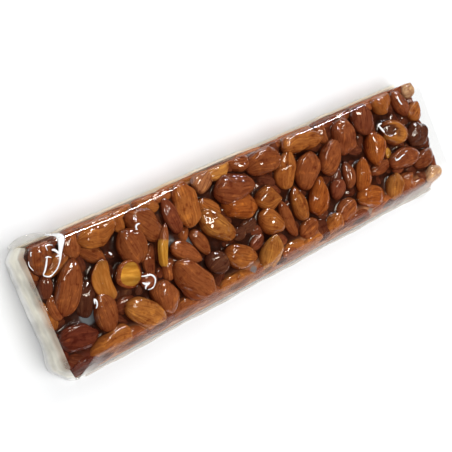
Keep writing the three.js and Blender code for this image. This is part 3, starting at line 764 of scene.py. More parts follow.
class Pile:
    """Collects many nuts into one mesh. The core copy of each is smaller, for the caramel to grow round."""

    def __init__(self):
        self.verts, self.cores, self.faces = [], [], []
        self.fields = {"grain": [], "tint": [], "cut": [], "rise": []}
        self.count = 0

    def add(self, place, heading, size, kind, tone, rng, turns=(0.0, 0.0, 0.0), sink=0.0, mesh=COARSE):
        """Turns are the lean to the near side, the dip along the nut and the roll, in radians."""
        length, width = size
        lean_near, dip, roll = turns
        thickness = nut_thickness(width, kind)
        if kind in (HALF, CRESCENT):
            verts, faces, cut, light = cut_nut(length, width, thickness, kind, rng)
            grain = verts
        else:
            verts, faces, grain, cut = whole_nut(length, width, thickness, kind, rng, mesh)
            light = np.ones(len(verts))
        rough = SMOOTH_LUMPS if kind in (HALF, CRESCENT, TORN) else LUMPS
        shaped = lumpy(verts, rough * width, LUMP_REACH, rng)
        turn = rotation(lean_near, heading, dip, roll)
        placed = shaped @ turn.T + np.array(place)
        core = (shaped * CORE_SIZE) @ turn.T + np.array(place) - np.array([0, 0, sink])
        self.verts.append(inside_film(placed))
        self.cores.append(inside_film(core))
        self.faces += [tuple(i + self.count for i in f) for f in faces]
        self.count += len(verts)
        skin = np.array(TONES[SKIN_OF.get(kind, tone)]) * rng.uniform(*TINT_RANGE)
        skin = np.tile(skin, (len(verts), 1))
        if kind == TORN:
            skin = torn_skin(verts, skin)
        flesh = np.array(TONES[FLESH_OF.get(kind, tone)])
        tint = np.where(cut[:, None] > 0.5, flesh, skin) * light[:, None]
        self.fields["grain"].append(grain + rng.uniform(-300, 300, 3))
        self.fields["cut"].append(cut)
        self.fields["tint"].append(np.hstack([tint, np.ones((len(verts), 1))]))
        self.fields["rise"].append((placed[:, 2] - place[2]) / thickness + 0.5)

    def build(self, name, material):
        obj = mesh_object(name, np.vstack(self.verts), self.faces)
        for field, values in self.fields.items():
            put_attribute(obj, field, np.concatenate(values))
        dress(obj, material)
        return obj


TOP_SINK = 0.7
DIP_SCATTER = 0.08
ROLL_SCATTER = 0.15
HALF_TURNS = (0.12, 0.15, 0.0)


def top_piles():
    """The nuts that show on top, in two halves of the bar. Those along a side lean out over it."""
    rng = np.random.default_rng(20)
    left, right = Pile(), Pile()
    for x, y, heading, length, width, rise, tone, *kind in TOP_NUTS:
        kind = kind[0] if kind else WHOLE
        over_near = float(smoothstep(*NEAR_EDGE, -y))
        over_far = float(smoothstep(*FAR_EDGE, y))
        lean = NEAR_NUT_LEAN * over_near - FAR_NUT_LEAN * over_far
        dip = rng.uniform(-DIP_SCATTER, DIP_SCATTER)
        roll = rng.uniform(-ROLL_SCATTER, ROLL_SCATTER)
        if kind in (CRESCENT, TORN, SLIVER):
            dip = roll = 0.0
        turns = HALF_TURNS if kind == HALF else (lean, dip, roll)
        place = (x, y - NEAR_NUT_SHIFT * over_near, rise - NEAR_NUT_DROP * over_near)
        pile = left if x < 0 else right
        pile.add(place, math.radians(heading), (length, width), kind, tone, rng, turns, TOP_SINK, FINE)
    return left, right


RIM_TONES = ("brown", "amber", "brown", "red", "amber")
# in the near corner of the left end the nuts are darker than elsewhere
DARK_CORNER = (-105.0, -8.0)


def rim_pile():
    """The nuts that lie flat against the sides and ends, by the same rule as the solids'."""
    rng = np.random.default_rng(21)
    draws = Repeatable(RIM_SEED)
    pile = Pile()

    def add(x, y, z, heading, lean):
        scale = RIM_SMALLEST + RIM_SIZE_RANGE * draws()
        heading += math.pi if draws() < 0.5 else 0.0
        tone = RIM_TONES[rng.integers(len(RIM_TONES))]
        if x < DARK_CORNER[0] and y < DARK_CORNER[1]:
            tone = "maroon"
        turned_back = math.cos(heading) < -0.5
        size = (RIM_LENGTH * scale, RIM_WIDTH * scale)
        roll = -lean if turned_back else lean
        pile.add((x, y, z), heading, size, WHOLE, tone, rng, (0.0, 0.0, roll))

    near_lean = math.pi / 2 - math.atan(NEAR_LEAN / HEIGHT)
    far_lean = math.atan(FAR_LEAN / HEIGHT) - math.pi / 2
    along = math.floor((BAR_LENGTH - RIM_STEP) / RIM_STEP)
    for i in range(along):
        x = (i - (along - 1) / 2) * RIM_STEP
        z = RIM_HEIGHT + draws.scatter(RIM_RISE_SCATTER)
        for side_at, lean in ((near_side, near_lean), (far_side, far_lean)):
            shift, turn = draws.scatter(RIM_SCATTER), draws.scatter(RIM_TURN)
            add(x + shift, side_at(z, RIM_DEPTH), z, turn, lean)
    for i in range(RIM_ACROSS_ENDS):
        y = RIM_CENTRE + (i - 1) * RIM_STEP
        for side in (-1, 1):
            x = side * (BAR_LENGTH / 2 - RIM_DEPTH - END_AIR)
            across, up, turn = (draws.scatter(s) for s in (RIM_SCATTER, END_RISE_SCATTER, RIM_TURN))
            add(x, y + across, RIM_HEIGHT + up, math.pi / 2 + turn, side * math.pi / 2)
    return pile


# grey patches painted on the caramel, a painted reflection of the room in the film over dark gaps: x, y,
# radius, strength
PAINTED_REFLECTIONS = [
    (-105.4, -6.9, 3.6, 1.0),
    (-46.2, 3.1, 2.4, 1.0),
    (-54.6, 7.0, 2.6, 0.45),
    (-17.2, -22.8, 2.2, 0.8),
    (-42.0, -24.8, 2.4, 1.0),
    (66.2, -24.3, 2.2, 0.6),
]


# the layer underneath takes mostly the darkest tones: painted shade under the top nuts and caramel
LOWER_SHADED_TONES = ("deep", "dark", "deep", "red", "deep")
LOWER_TRIES = 6000
LOWER_X, LOWER_Y, LOWER_Z = (-120, 120), (-24, 28), (8.0, 9.2)
LOWER_LENGTH, LOWER_WIDTH = (12, 17), (7.5, 10)
LOWER_SPACING = 7.5
LOWER_ROLL = 0.3
CLEAR_OF_NUTS = 1.02
CLEAR_OF_REFLECTIONS = 6.0


def lower_pile():
    """Nuts of the layer underneath, which show dimly in the gaps, mostly in dark tones that paint the shade
    they lie in.
    """
    rng = np.random.default_rng(33)
    centres = np.array([(x, y) for x, y, *_ in TOP_NUTS], float)
    headings = np.radians([row[2] for row in TOP_NUTS])
    halves = np.array([(row[3] / 2, row[4] / 2) for row in TOP_NUTS])
    pile = Pile()
    chosen = []
    for _ in range(LOWER_TRIES):
        spot = np.array([rng.uniform(*LOWER_X), rng.uniform(*LOWER_Y)])
        away = spot - centres
        along = away[:, 0] * np.cos(headings) + away[:, 1] * np.sin(headings)
        across = -away[:, 0] * np.sin(headings) + away[:, 1] * np.cos(headings)
        if np.min(np.hypot(along / halves[:, 0], across / halves[:, 1])) < CLEAR_OF_NUTS:
            continue
        if any(np.hypot(*(spot - other)) < LOWER_SPACING for other in chosen):
            continue
        if any(math.hypot(spot[0] - x, spot[1] - y) < radius + CLEAR_OF_REFLECTIONS for x, y, radius, _ in PAINTED_REFLECTIONS):
            continue
        chosen.append(spot)
        size = (rng.uniform(*LOWER_LENGTH), rng.uniform(*LOWER_WIDTH))
        place, heading = (*spot, rng.uniform(*LOWER_Z)), rng.uniform(0, 6.28)
        tone = LOWER_SHADED_TONES[rng.integers(len(LOWER_SHADED_TONES))]
        roll = rng.uniform(-LOWER_ROLL, LOWER_ROLL)
        pile.add(place, heading, size, WHOLE, tone, rng, (0.0, 0.0, roll))
    return pile


# ---------------------------------------------------------------- caramel
def core_block():
    """The block of caramel under and between the nuts."""
    bottom = FILM + GAP + WAFER_THICKNESS + GAP
    half = BAR_LENGTH / 2 - CARAMEL_INSET
    corners = [
        (near_side(bottom, -FOOT_SWELL), bottom),
        (far_side(bottom, CARAMEL_INSET), bottom),
        (far_side(CARAMEL_TOP, CARAMEL_INSET), CARAMEL_TOP),
        (near_side(CARAMEL_TOP, CARAMEL_INSET), CARAMEL_TOP),
        (near_side(NEAR_FOOT_TOP, -FOOT_SWELL), NEAR_FOOT_TOP),
    ]
    count = len(corners)
    verts = [(x, y, z) for x in (-half, half) for y, z in corners]
    faces = [(j, (j + 1) % count, count + (j + 1) % count, count + j) for j in range(count)]
    return verts, [*faces, tuple(reversed(range(count))), tuple(range(count, 2 * count))]


CARAMEL_AIR = 0.2
CARAMEL_END_AIR = 0.7
VOXEL = 0.75
RELAX_ROUNDS = 9
RELAX_STRENGTH = 0.55
REFLECTION_RIM = 0.5


def relax(obj, rounds, strength):
    """Laplacian smoothing, which fills the creases between nuts and wears down their tops."""
    mesh = obj.data
    edges = np.zeros(len(mesh.edges) * 2, np.int64)
    mesh.edges.foreach_get("vertices", edges)
    a, b = edges.reshape(-1, 2).T
    co = np.zeros(len(mesh.vertices) * 3)
    mesh.vertices.foreach_get("co", co)
    co = co.reshape(-1, 3)
    degree = np.bincount(a, minlength=len(co)) + np.bincount(b, minlength=len(co))
    floor = co[:, 2].min()
    for _ in range(rounds):
        total = np.zeros_like(co)
        for k in range(3):
            total[:, k] = np.bincount(a, co[b, k], len(co)) + np.bincount(b, co[a, k], len(co))
        co = co + strength * (total / degree[:, None] - co)
        co[:, 2] = np.maximum(co[:, 2], floor)
    co[:, 1] = np.maximum(co[:, 1], near_side(co[:, 2] / MM, FILM + CARAMEL_AIR) * MM)
    co[:, 0] = np.maximum(co[:, 0], left_end(co[:, 1] / MM, CARAMEL_END_AIR) * MM)
    mesh.vertices.foreach_set("co", co.ravel())
    mesh.update()
    return co / MM


def build_caramel(material, piles):
    """The block and the nuts' cores grown together and smoothed, so that caramel climbs the nuts."""
    block, faces = core_block()
    verts = [np.array(block)]
    count = len(block)
    for pile in piles:
        cores = np.vstack(pile.cores)
        faces += [tuple(i + count for i in f) for f in pile.faces]
        verts.append(cores)
        count += len(cores)
    core = mesh_object("caramel", np.vstack(verts), faces, smooth=False)
    bpy.context.view_layer.objects.active = core
    remesh = core.modifiers.new("remesh", "REMESH")
    remesh.mode = "VOXEL"
    remesh.voxel_size = VOXEL * MM
    bpy.ops.object.modifier_apply(modifier="remesh")
    verts = relax(core, RELAX_ROUNDS, RELAX_STRENGTH)
    core.data.shade_smooth()
    # Grey patches painted on the caramel: a painted reflection.
    painted_reflection = np.zeros(len(verts))
    for x, y, radius, strength in PAINTED_REFLECTIONS:
        away = np.hypot(verts[:, 0] - x, verts[:, 1] - y)
        painted_reflection = np.maximum(painted_reflection, strength * smoothstep(radius + REFLECTION_RIM, radius - REFLECTION_RIM, away))
    put_attribute(core, "painted_reflection", painted_reflection)
    dress(core, material)
    return core


# ---------------------------------------------------------------- wafer
# how high the wafer's torn far edge stands along the bar: x, height
LEDGE = [
    (-125, 0.2), (-122, 0.5), (-112, 1.0), (-108, 0.9), (-106, 0.1), (-100, 0.1), (-97, 0.9), (-80, 1.1),
    (-77, 0.3), (-75, 0.8), (-56, 0.7), (-54, 0.1), (-42, 0.1), (-40, 0.5), (-26, 0.4), (-24, 1.2), (6, 1.1),
    (9, 0.2), (60, 0.1), (63, 0.9), (70, 0.8), (72, 0.1), (76, 0.5), (120, 0.6), (125, 0.2),
]
# waves in the torn edge: height, turn per mm, start
RAGGED = ((0.28, 0.31, 0), (0.22, 0.83, 1), (0.12, 2.3, 0))
WAFER_COLUMNS = 320
WAFER_AIR = 0.05
WAFER_END_GAP = 0.9
WAFER_MIDDLE = 1.0
WAFER_NEAR_INSET = 0.6
WAFER_FAR_INSET = 0.75


def build_wafer(material):
    """A thin slab whose far edge is torn and curls up."""
    bottom = FILM + WAFER_AIR
    top = bottom + WAFER_THICKNESS
    half = BAR_LENGTH / 2 - WAFER_END_GAP
    ledge_x, ledge_height = np.array(LEDGE, float).T
    verts = []
    for i in range(WAFER_COLUMNS + 1):
        x = half * (2 * i / WAFER_COLUMNS - 1)
        wave = sum(size * math.sin(x * pitch + start) for size, pitch, start in RAGGED)
        curl = float(np.interp(x, ledge_x, ledge_height)) * (1 + 0.5 * wave)
        reach = WAFER_LEDGE * min(1.0, curl)
        near = near_side(WAFER_MIDDLE, WAFER_NEAR_INSET) + 0.12 * (1 + wave)
        far = film_far_side(WAFER_MIDDLE) - WAFER_FAR_INSET + reach - 0.15 * (1 + wave)
        profile = [
            (near, bottom), (far, bottom), (far, top + 0.6 * curl), (far - 0.9, top + curl),
            (far - 2.4, top), (near + 2.2, top), (near, top),
        ]
        verts += [(max(x, left_end(y, WAFER_END_GAP)), y, z) for y, z in profile]
    obj = mesh_object("wafer_sheet", verts, capped_tube(WAFER_COLUMNS + 1, len(profile)), smooth=False)
    dress(obj, material)
    return obj


# ---------------------------------------------------------------- film
# Raised creases in the film, painted white as the window's glints on them: (x, y, width) along each, laid on
# its top
CREASES = [
    # the gathered corner at the left end
    ((-107.7, 31.6, 0.7), (-105.8, 29.6, 3.2), (-105.9, 27.9, 3.4), (-107.2, 25.6, 2.5), (-108.6, 23.2, 1.7),
     (-109.7, 21.0, 1.1), (-110.9, 19.2, 0.6), (-112.8, 17.4, 0.5), (-115.0, 16.3, 0.55), (-117.1, 15.8, 0.7),
     (-119.3, 17.2, 0.55), (-118.0, 18.8, 0.8), (-116.6, 20.6, 0.9), (-115.5, 22.4, 0.7),
     (-114.6, 23.6, 0.4)),
    ((-115.9, 23.4, 0.35), (-114.6, 23.4, 0.6), (-113.2, 22.5, 0.3)),
    ((-111.9, 25.3, 0.6), (-110.6, 24.7, 1.1), (-109.4, 22.7, 1.0), (-108.7, 21.6, 0.6)),
    ((-111.4, 22.2, 0.4), (-109.9, 22.0, 0.7), (-108.6, 21.9, 0.5)),
    ((-113.6, 25.7, 0.3), (-113.4, 27.5, 0.5), (-112.0, 27.6, 0.4), (-110.4, 26.9, 0.3)),
    ((-121.2, 26.2, 0.3), (-120.5, 27.6, 0.4), (-119.9, 27.6, 0.2)),
    ((-123.0, 24.8, 0.3), (-123.4, 23.0, 0.4), (-122.6, 20.6, 0.3)),
    # a pinched loop
    ((-78.3, -0.7, 0.5), (-75.8, -1.4, 0.8), (-73.8, -1.8, 0.9), (-72.7, -3.0, 1.0), (-72.4, -4.2, 0.9),
     (-73.0, -5.5, 0.7), (-74.2, -6.8, 0.5), (-75.7, -7.4, 0.5), (-77.8, -7.1, 0.3)),
    ((-79.1, -3.3, 0.5), (-78.2, -4.1, 1.1), (-77.0, -4.9, 1.3), (-75.5, -4.8, 0.7)),
    ((-77.0, -5.0, 1.0), (-78.3, -5.7, 0.9), (-78.6, -6.6, 0.5)),
    # single pinches
    ((-103.4, -2.6, 0.5), (-102.8, -0.7, 0.9), (-102.2, -1.8, 0.9), (-102.7, -3.5, 0.7), (-103.7, -4.4, 0.5)),
    ((-88.4, 14.8, 0.5), (-87.7, 13.7, 1.0), (-87.4, 13.0, 0.6)),
    ((-71.5, 18.2, 0.5), (-71.6, 19.6, 0.9), (-70.6, 20.4, 0.9), (-69.0, 20.3, 0.5)),
    ((84.4, 14.8, 0.7), (85.8, 15.8, 1.2), (88.0, 15.9, 0.6)),
    ((85.4, 15.0, 1.0), (86.4, 12.9, 1.4), (87.6, 10.9, 0.8)),
    ((88.5, -3.6, 0.4), (88.3, -4.9, 0.9), (90.5, -5.1, 0.9), (93.0, -4.5, 0.7), (96.0, -4.1, 0.4)),
    ((96.4, -3.3, 0.3), (97.6, -3.1, 0.5), (98.7, -3.2, 0.3)),
    ((105.8, 25.2, 0.5), (105.8, 22.8, 1.2), (106.9, 20.3, 0.7)),
]


SECTION_STEP = 0.5
FOOT_ROUND = 0.3


def section_points():
    """The film's section: (y, z) from the near foot over the top to the far foot and back underneath."""
    corners = [
        (near_side(0.0), 0.0, FOOT_ROUND),
        (near_side(HEIGHT), HEIGHT, NEAR_ROUND),
        (far_side(HEIGHT), HEIGHT, FAR_ROUND),
        (film_far_side(0.0), 0.0, FOOT_ROUND),
    ]
    points = []
    for i, (y, z, radius) in enumerate(corners):
        corner = np.array([y, z])
        before = np.array(corners[i - 1][:2]) - corner
        after = np.array(corners[(i + 1) % 4][:2]) - corner
        start = corner + radius * before / np.linalg.norm(before)
        end = corner + radius * after / np.linalg.norm(after)
        for s in np.linspace(0, 1, max(4, int(radius / SECTION_STEP * 1.6))):
            points.append((1 - s) ** 2 * start + 2 * s * (1 - s) * corner + s ** 2 * end)
        target = corner + after * (1 - corners[(i + 1) % 4][2] / np.linalg.norm(after))
        step = SECTION_STEP if i < 3 else 4 * SECTION_STEP
        for s in np.linspace(0, 1, max(2, int(np.linalg.norm(target - end) / step)) + 1)[1:-1]:
            points.append(end + s * (target - end))
    return np.array(points)


# how strongly the fold along the far top edge mirrors the window: x, share
FOLD_GLARE = [
    (-124, 0.10), (-112, 0.30), (-107.5, 1.0), (-98, 0.85), (-88, 0.60), (-62, 0.42), (-50, 0.20),
    (-43, 0.06), (30, 0.08), (38, 0.50), (78, 0.50), (92, 0.06), (124, 0.06),
]
# the fold sags by this much, from this x, over this length
FOLD_SAG, SAG_FROM, SAG_LENGTH = 0.8, -108, 64
# the near side's film is creased here, clear before it and milky after it: x at the foot, x per mm up
NEAR_CREASE = (-115.2, 0.232)


def film_piece(name, verts, faces, material, haze, shine):
    """A piece of film. Haze and shine are one number each, or one for each vertex."""
    obj = mesh_object(name, verts, faces)
    put_attribute(obj, "haze", np.broadcast_to(haze, len(verts)))
    put_attribute(obj, "shine", np.broadcast_to(shine, len(verts)))
    dress(obj, material)
    return obj


SLEEVE_COLUMNS = 480
RIPPLE = 0.10


def sleeve_milk_and_glare(x, y, z):
    """The near side is milky, partly milky film and partly a painted reflection of the bright floor: more
    towards its foot, towards the right end and just past its crease.
    """
    past_crease = x - (NEAR_CREASE[0] + NEAR_CREASE[1] * z)
    # The lowest strip, milkiest, is a painted highlight where the foot's rounding catches the light.
    milk_and_painted_light = 0.05 + 0.16 * smoothstep(13.0, 3.0, z) + 0.4 * smoothstep(2.2, 0.6, z)
    milk_and_painted_light += 0.26 * smoothstep(60.0, 105.0, x) * smoothstep(16.0, 7.0, z)
    milk_and_painted_light += (0.12 + 0.30 * smoothstep(11.0, 1.0, z)) * gauss(past_crease - 2.0, 6.5)
    milk_and_painted_light *= smoothstep(-0.6, 0.6, past_crease) * smoothstep(17.2, 15.2, z)
    return on_near_side(y, z) * milk_and_painted_light


def on_near_side(y, z):
    return smoothstep(-16.5, -20.5, y) * (z > 0.1)


def sleeve_shine(x, y, z, tilt):
    """Full on top, weak on the two sides, and in patches along the far fold but for a dull band on it."""
    glare = 1 + smoothstep(24.0, 26.0, y) * (np.interp(x, *np.array(FOLD_GLARE).T) - 1)
    glare *= 1 - 0.92 * smoothstep(2.0, 6.0, tilt) * smoothstep(23.0, 19.0, tilt)
    return glare * (1.0 - 0.92 * smoothstep(28.6, 30.1, y) - 0.93 * on_near_side(y, z))


def build_sleeve(material):
    """The tube of film round the bar, with gentle ripples and a fold that sags."""
    section = section_points()
    tangent = np.roll(section, -1, 0) - np.roll(section, 1, 0)
    outward = np.stack([-tangent[:, 1], tangent[:, 0]], 1)
    outward /= np.linalg.norm(outward, axis=1)[:, None]
    half = BAR_LENGTH / 2 - GAP
    x = np.repeat(np.linspace(-half, half, SLEEVE_COLUMNS + 1), len(section))
    y, z = np.tile(section, (SLEEVE_COLUMNS + 1, 1)).T
    out_y, out_z = np.tile(outward, (SLEEVE_COLUMNS + 1, 1)).T
    lift = RIPPLE * np.sin(x * 0.11 + y * 0.21) * np.sin(x * 0.047 - y * 0.13 + 2)
    lift = np.where(z < 0.5, 0.0, lift) * (1 - 0.6 * smoothstep(20.0, 25.0, y))
    sag = FOLD_SAG * np.sin(math.pi * np.clip((x - SAG_FROM) / SAG_LENGTH, 0, 1)) ** 2
    sag *= smoothstep(18.0, 27.0, y) * smoothstep(8.0, 16.0, z)
    drawn = np.maximum(x, left_end(y, 0.0))
    verts = np.stack([drawn, y + out_y * lift - sag, z + out_z * lift], 1)
    faces = [quad[::-1] for quad in grid_faces(SLEEVE_COLUMNS + 1, len(section), True)]
    shine = sleeve_shine(x, y, z, np.degrees(np.arctan2(out_y, out_z)))
    return film_piece("film_sleeve", verts, faces, material, sleeve_milk_and_glare(x, y, z), shine)


SEAM_COLUMNS = 240
SEAM_FROM = -112.0
SEAM_MILK_AND_HIGHLIGHT = 0.6
SEAM_SHINE = 0.1


def build_seam(material):
    """The sleeve's lengthwise seam: a narrow lip of doubled film along the near foot, milky partly from the
    doubling and partly as a painted highlight.
    """
    x = np.linspace(SEAM_FROM, BAR_LENGTH / 2 - 1.0, SEAM_COLUMNS + 1)
    root = np.full(len(x), near_side(0.9) - 0.05)
    edge = near_side(0.0) - (0.55 + 0.22 * np.sin(x * 0.13) + 0.12 * np.sin(x * 0.41 + 2))
    loop = ((root, 0.95), (root - 0.4, 0.80), (edge, 0.62), (edge, 0.45), (root - 0.4, 0.62), (root, 0.70))
    verts = np.stack([np.stack([x, y, z + 0.05 * np.sin(x * 0.9)], 1) for y, z in loop], 1).reshape(-1, 3)
    faces = capped_tube(SEAM_COLUMNS + 1, len(loop))
    return film_piece("film_seam", verts, faces, material, SEAM_MILK_AND_HIGHLIGHT, SEAM_SHINE)


def smooth_path(points, step):
    """A soft line through (x, y, width) points."""
    points = np.array(points, float)
    padded = np.vstack([2 * points[0] - points[1], points, 2 * points[-1] - points[-2]])
    out = []
    for a, b, c, d in zip(padded[:-3], padded[1:-2], padded[2:-1], padded[3:]):
        count = max(2, int(np.linalg.norm((c - b)[:2]) / step))
        for t in np.linspace(0, 1, count, endpoint=False):
            out.append(0.5 * (2 * b + (c - a) * t + (2 * a - 5 * b + 4 * c - d) * t * t
                              + (3 * b - a - 3 * c + d) * t ** 3))
    return np.array(out + [points[-1]])


CREASE_STEP = 0.35
# half widths, in mm: the least along a crease and at its two tips
CREASE_LEAST, CREASE_TIP = 0.12, 0.06
CREASE_HIGHEST = 0.42
CREASE_LIFT = 0.04


def build_creases(material):
    """Each crease is a low rounded ridge standing on the film, painted with a highlight."""
    section = section_points()
    upper = section[(section[:, 1] > 8) & (section[:, 0] > -22)]
    upper = upper[np.argsort(upper[:, 0])]
    over = np.linspace(-1, 1, 7)
    across = np.concatenate([over, over[-2:0:-1]])
    dome = np.sqrt(1 - over ** 2)
    count = len(across)
    verts, faces, start = [], [], 0
    for crease in CREASES:
        path = smooth_path(crease, CREASE_STEP)
        along = np.gradient(path[:, :2], axis=0)
        along /= np.linalg.norm(along, axis=1)[:, None]
        side = np.stack([-along[:, 1], along[:, 0]], 1)
        half = np.maximum(path[:, 2:] / 2, CREASE_LEAST)
        half[0] = half[-1] = CREASE_TIP
        ring = []
        for k, share in enumerate(across):
            spot = path[:, :2] + side * half * share
            z = np.interp(spot[:, 1], upper[:, 0], upper[:, 1]) + CREASE_LIFT
            if k < len(over):
                z += np.minimum((0.10 + 0.30 * half[:, 0]) * dome[k], CREASE_HIGHEST)
            ring.append(np.column_stack([spot, z]))
        verts.append(np.stack(ring, 1).reshape(-1, 3))
        faces += [tuple(start + i for i in quad) for quad in grid_faces(len(path), count, True)]
        faces.append(tuple(start + i for i in reversed(range(count))))
        faces.append(tuple(start + (len(path) - 1) * count + i for i in range(count)))
        start += len(path) * count
    obj = mesh_object("film_crease_glints", np.vstack(verts), faces)
    dress(obj, material)
    return obj


# The creases are real ridges; their white is a painted highlight, the window's glints on the wrinkled film.
def crease_glint_material():
    n = Nodes("film_crease_glint")
    soft = n.ramp(n.noise(n.place(), 500.0, 2.0), 0.3, 0.7)
    colour = n.mix(soft, (0.90, 0.90, 0.89, 1), (0.98, 0.98, 0.98, 1))
    return n.finish(n.node("ShaderNodeBsdfPrincipled", Base_Color=colour, Roughness=0.12, Coat_Weight=1.0))


MOST_OUT = 1.95


def end_out(y, z, side):
    """How far the folded film stands out past the tube's end."""
    up = z / HEIGHT
    foot = 0.55 * (1 - up) ** 2
    bulge = (1.5 * gauss(y + 19.6, 4.0) + 1.9 * smoothstep(-20.0, -28.0, y)) * (1 - up) ** 0.7
    waves = 0.16 * np.sin(0.55 * y + 0.30 * z) * np.sin(0.21 * y - 0.5 * z + 1)
    creases = 0.22 * np.abs(np.sin(0.42 * z + 0.05 * y + 0.6)) + 0.12 * np.sin(1.15 * z + 0.16 * y)
    out = 0.25 + foot + waves + creases + (bulge if side < 0 else 0)
    rim = smoothstep(0.0, 2.0, y - near_side(z)) * smoothstep(0.0, 2.0, film_far_side(z) - y)
    return np.clip(out * rim * smoothstep(0.0, 1.6, HEIGHT - z), 0.0, MOST_OUT)


FLAP_COLUMNS, FLAP_ROWS = 40, 8
FLAP_THICKNESS = 0.12
# the ear at each end: from and to along the bar, how far it stands out and how high it begins
EARS = {-1: (122.0, 103.5, 2.7, 6.0), 1: (123.5, 103.5, 2.2, 1.2)}


def flap(side, far):
    """A corner of film folded out beside the bar, as a thin closed sheet."""
    x_from, x_to, reach, top = EARS[side]
    t = np.linspace(0, 1, FLAP_COLUMNS + 1)
    width = reach * np.sin(math.pi * t ** 0.8) ** 0.8
    x = side * (x_from + (x_to - x_from) * t)
    verts = []
    for layer in (0.0, FLAP_THICKNESS):
        for s in np.linspace(0, 1, FLAP_ROWS + 1):
            z = top * (1 - s) ** 1.3 + 0.25 + layer + 0.12 * np.sin(6 * t + 5 * s)
            foot = film_far_side(z) if far else -near_side(z)
            y = foot - 0.1 + width * s
            verts.append(np.stack([x, y if far else -y, np.maximum(z, 0.05 + layer)], 1))
    grid = np.arange((FLAP_ROWS + 1) * (FLAP_COLUMNS + 1)).reshape(FLAP_ROWS + 1, -1)
    faces = []
    for quad in grid_faces(*grid.shape, False):
        faces += [quad, tuple(grid.size + i for i in reversed(quad))]
    border = [int(i) for i in (*grid[0], *grid[1:, -1], *grid[-1, -2::-1], *grid[-2:0:-1, 0])]
    for a, b in zip(border, border[1:] + border[:1]):
        faces.append((b, a, grid.size + a, grid.size + b))
    if (side > 0) == far:
        faces = [f[::-1] for f in faces]
    return np.vstack(verts), faces


END_COLUMNS, END_ROWS = 150, 44


def build_end(material, name, side, haze_level, flap_haze, shine):
    """The film gathered over one end, with an ear at the left's far corner or at the right's near one."""
    across, z = np.meshgrid(np.linspace(0, 1, END_COLUMNS + 1), np.linspace(0, HEIGHT, END_ROWS + 1))
    across, z = across.ravel(), z.ravel()
    low, high = near_side(z), film_far_side(z)
    y = low + (high - low) * across
    z = np.minimum(z, HEIGHT - 0.9 * np.clip((y - 24.5) / FAR_ROUND, 0, 2) ** 2)
    drawn = tuck(y) if side < 0 else 0.0
    verts = np.stack([side * (BAR_LENGTH / 2 - drawn + end_out(y, z, side)), y, z], 1)
    streaks = 0.07 * np.sin(1.3 * z + 0.2 * y) + 0.05 * np.sin(0.7 * y)
    haze = haze_level * (1.0 - 0.55 * smoothstep(8.0, 17.5, z) + streaks)
    faces = grid_faces(END_ROWS + 1, END_COLUMNS + 1, False)
    if side < 0:
        faces = [quad[::-1] for quad in faces]
    ear, ear_faces = flap(side, side < 0)
    faces += [tuple(i + len(verts) for i in f) for f in ear_faces]
    haze = np.concatenate([haze, np.full(len(ear), flap_haze)])
    return film_piece(name, np.vstack([verts, ear]), faces, material, haze, shine)


# ---------------------------------------------------------------- the room
def build_camera():
    azimuth, elevation, roll = (math.radians(a) for a in (CAMERA_AZIMUTH, CAMERA_ELEVATION, CAMERA_ROLL))
    back = Vector((
        math.sin(azimuth) * math.cos(elevation),
        -math.cos(azimuth) * math.cos(elevation),
        math.sin(elevation),
    ))
    right = (-back).cross(Vector((0, 0, 1))).normalized()
    up = right.cross(-back)
    rolled_right = math.cos(roll) * right + math.sin(roll) * up
    rolled_up = -math.sin(roll) * right + math.cos(roll) * up
    data = bpy.data.cameras.new("camera")
    data.sensor_width = SENSOR
    data.lens = SENSOR * FOCAL_PIXELS / PICTURE_PIXELS
    data.clip_start = 0.01
    camera = bpy.data.objects.new("camera", data)
    SCENE.collection.objects.link(camera)
    matrix = Matrix((rolled_right, rolled_up, back)).transposed().to_4x4()
    matrix.translation = (Vector(CAMERA_TARGET) + CAMERA_DISTANCE * back) * MM
    camera.matrix_world = matrix
    SCENE.camera = camera


def area_light(name, direction, distance, size, power, colour=(1, 1, 1), spin=0.0):
    data = bpy.data.lights.new(name, "AREA")
    data.shape = "RECTANGLE"
    data.size, data.size_y = size
    data.energy = power
    data.color = colour
    light = bpy.data.objects.new(name, data)
    SCENE.collection.objects.link(light)
    away = Vector(direction).normalized()
    light.location = away * distance
    turn = away.to_track_quat("Z", "Y") @ Quaternion((0, 0, 1), math.radians(spin))
    light.rotation_euler = turn.to_euler()
    return light


LAMP_DISTANCE = 3.0
# windows and lamps that only show as reflections: direction, size, power, colour, turn
MIRRORED = {
    "window": ((0.455, 0.70, 0.535), (0.50, 0.42), 50.0, (1.0, 0.96, 0.90), 0.0),
    "far_window": ((0.675, 0.586, 0.449), (0.22, 0.40), 14.0, (0.90, 0.86, 1.0), 0.0),
    "long_lamp": ((0.229, 0.287, 0.907), (1.4, 0.13), 26.0, (1.0, 0.92, 0.80), 50.0),
    "second_lamp": ((0.10, 0.40, 0.90), (0.7, 0.09), 8.0, (1.0, 0.92, 0.80), 25.0),
}
SOFT_DISTANCE = 1.6
# soft lights that are never mirrored: direction, size, power
SOFT = {
    "side": ((0.30, 0.75, 0.60), (1.0, 0.8), 9.0),
    "front": ((-0.80, 0.05, 0.55), (0.9, 0.9), 6.0),
    "ceiling": ((0.30, -0.38, 0.87), (1.3, 1.3), 22.5),
}
SKY_COLOUR = (0.95, 0.97, 1.0, 1)
SKY_STRENGTH = 0.34


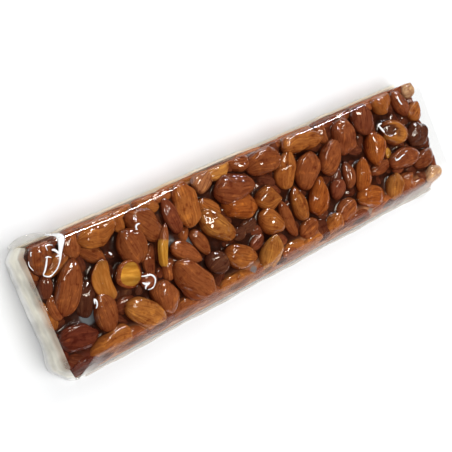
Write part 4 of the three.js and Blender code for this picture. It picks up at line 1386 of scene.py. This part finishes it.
def build_floor():
    bpy.ops.mesh.primitive_plane_add(size=8.0, location=(0, 0, -0.0002))
    floor = bpy.context.object
    floor.name = "floor"
    n = Nodes("floor_paper")
    grain = n.ramp(n.noise(n.place(), 14.0, 3.0), 0.3, 0.7)
    paper = n.mix(grain, (0.855, 0.855, 0.855, 1), (0.875, 0.875, 0.875, 1))
    floor.data.materials.append(n.finish(n.node("ShaderNodeBsdfPrincipled", Base_Color=paper, Roughness=0.9)))


def build_lights():
    for name, (direction, size, power, colour, spin) in MIRRORED.items():
        lamp = area_light(name, direction, LAMP_DISTANCE, size, power, colour, spin)
        lamp.visible_diffuse = False
    for name, (direction, size, power) in SOFT.items():
        lamp = area_light(name, direction, SOFT_DISTANCE, size, power)
        lamp.visible_glossy = False
    world = bpy.data.worlds.new("room")
    world.use_nodes = True
    background = world.node_tree.nodes["Background"]
    background.inputs["Color"].default_value = SKY_COLOUR
    background.inputs["Strength"].default_value = SKY_STRENGTH
    world.cycles_visibility.glossy = False
    SCENE.world = world
    SCENE.view_settings.view_transform = "Standard"


# ---------------------------------------------------------------- putting it together
build_camera()
build_floor()
build_lights()
skin = nut_material()
piles = *top_piles(), rim_pile(), lower_pile()
names = "almonds_top_left", "almonds_top_right", "almonds_rim", "almonds_lower"
nut_pieces = [pile.build(name, skin) for pile, name in zip(piles, names)]
caramel = build_caramel(caramel_material(), piles)
wafer = build_wafer(wafer_material())
clear = film_material("clear_film", (0.93, 0.90, 0.85, 1), (0.90, 0.86, 0.82, 1), (0.90, 0.87, 0.86, 1))
sleeve = build_sleeve(clear)
seam_film = film_material("seam_film", (0.74, 0.67, 0.60, 1), (0.8, 0.75, 0.7, 1), (0.8, 0.75, 0.7, 1))
seam = build_seam(seam_film)
creases = build_creases(crease_glint_material())
folded = film_material("folded_film", (0.95, 0.94, 0.90, 1), (0.86, 0.82, 0.68, 1), (0.82, 0.68, 0.50, 1))
right_fold = build_end(folded, "film_fold_right", 1, 0.0, 0.05, 0.08)
left_fold = build_end(folded, "film_fold_left", -1, 1.0, 0.25, 0.5)

for nut_piece in (*nut_pieces, caramel):
    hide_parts("nougat")
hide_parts("wafer")
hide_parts("film_tube")
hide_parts("film_tube")
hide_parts("film_tube")
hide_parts("film_end_right")
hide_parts("film_end_left")
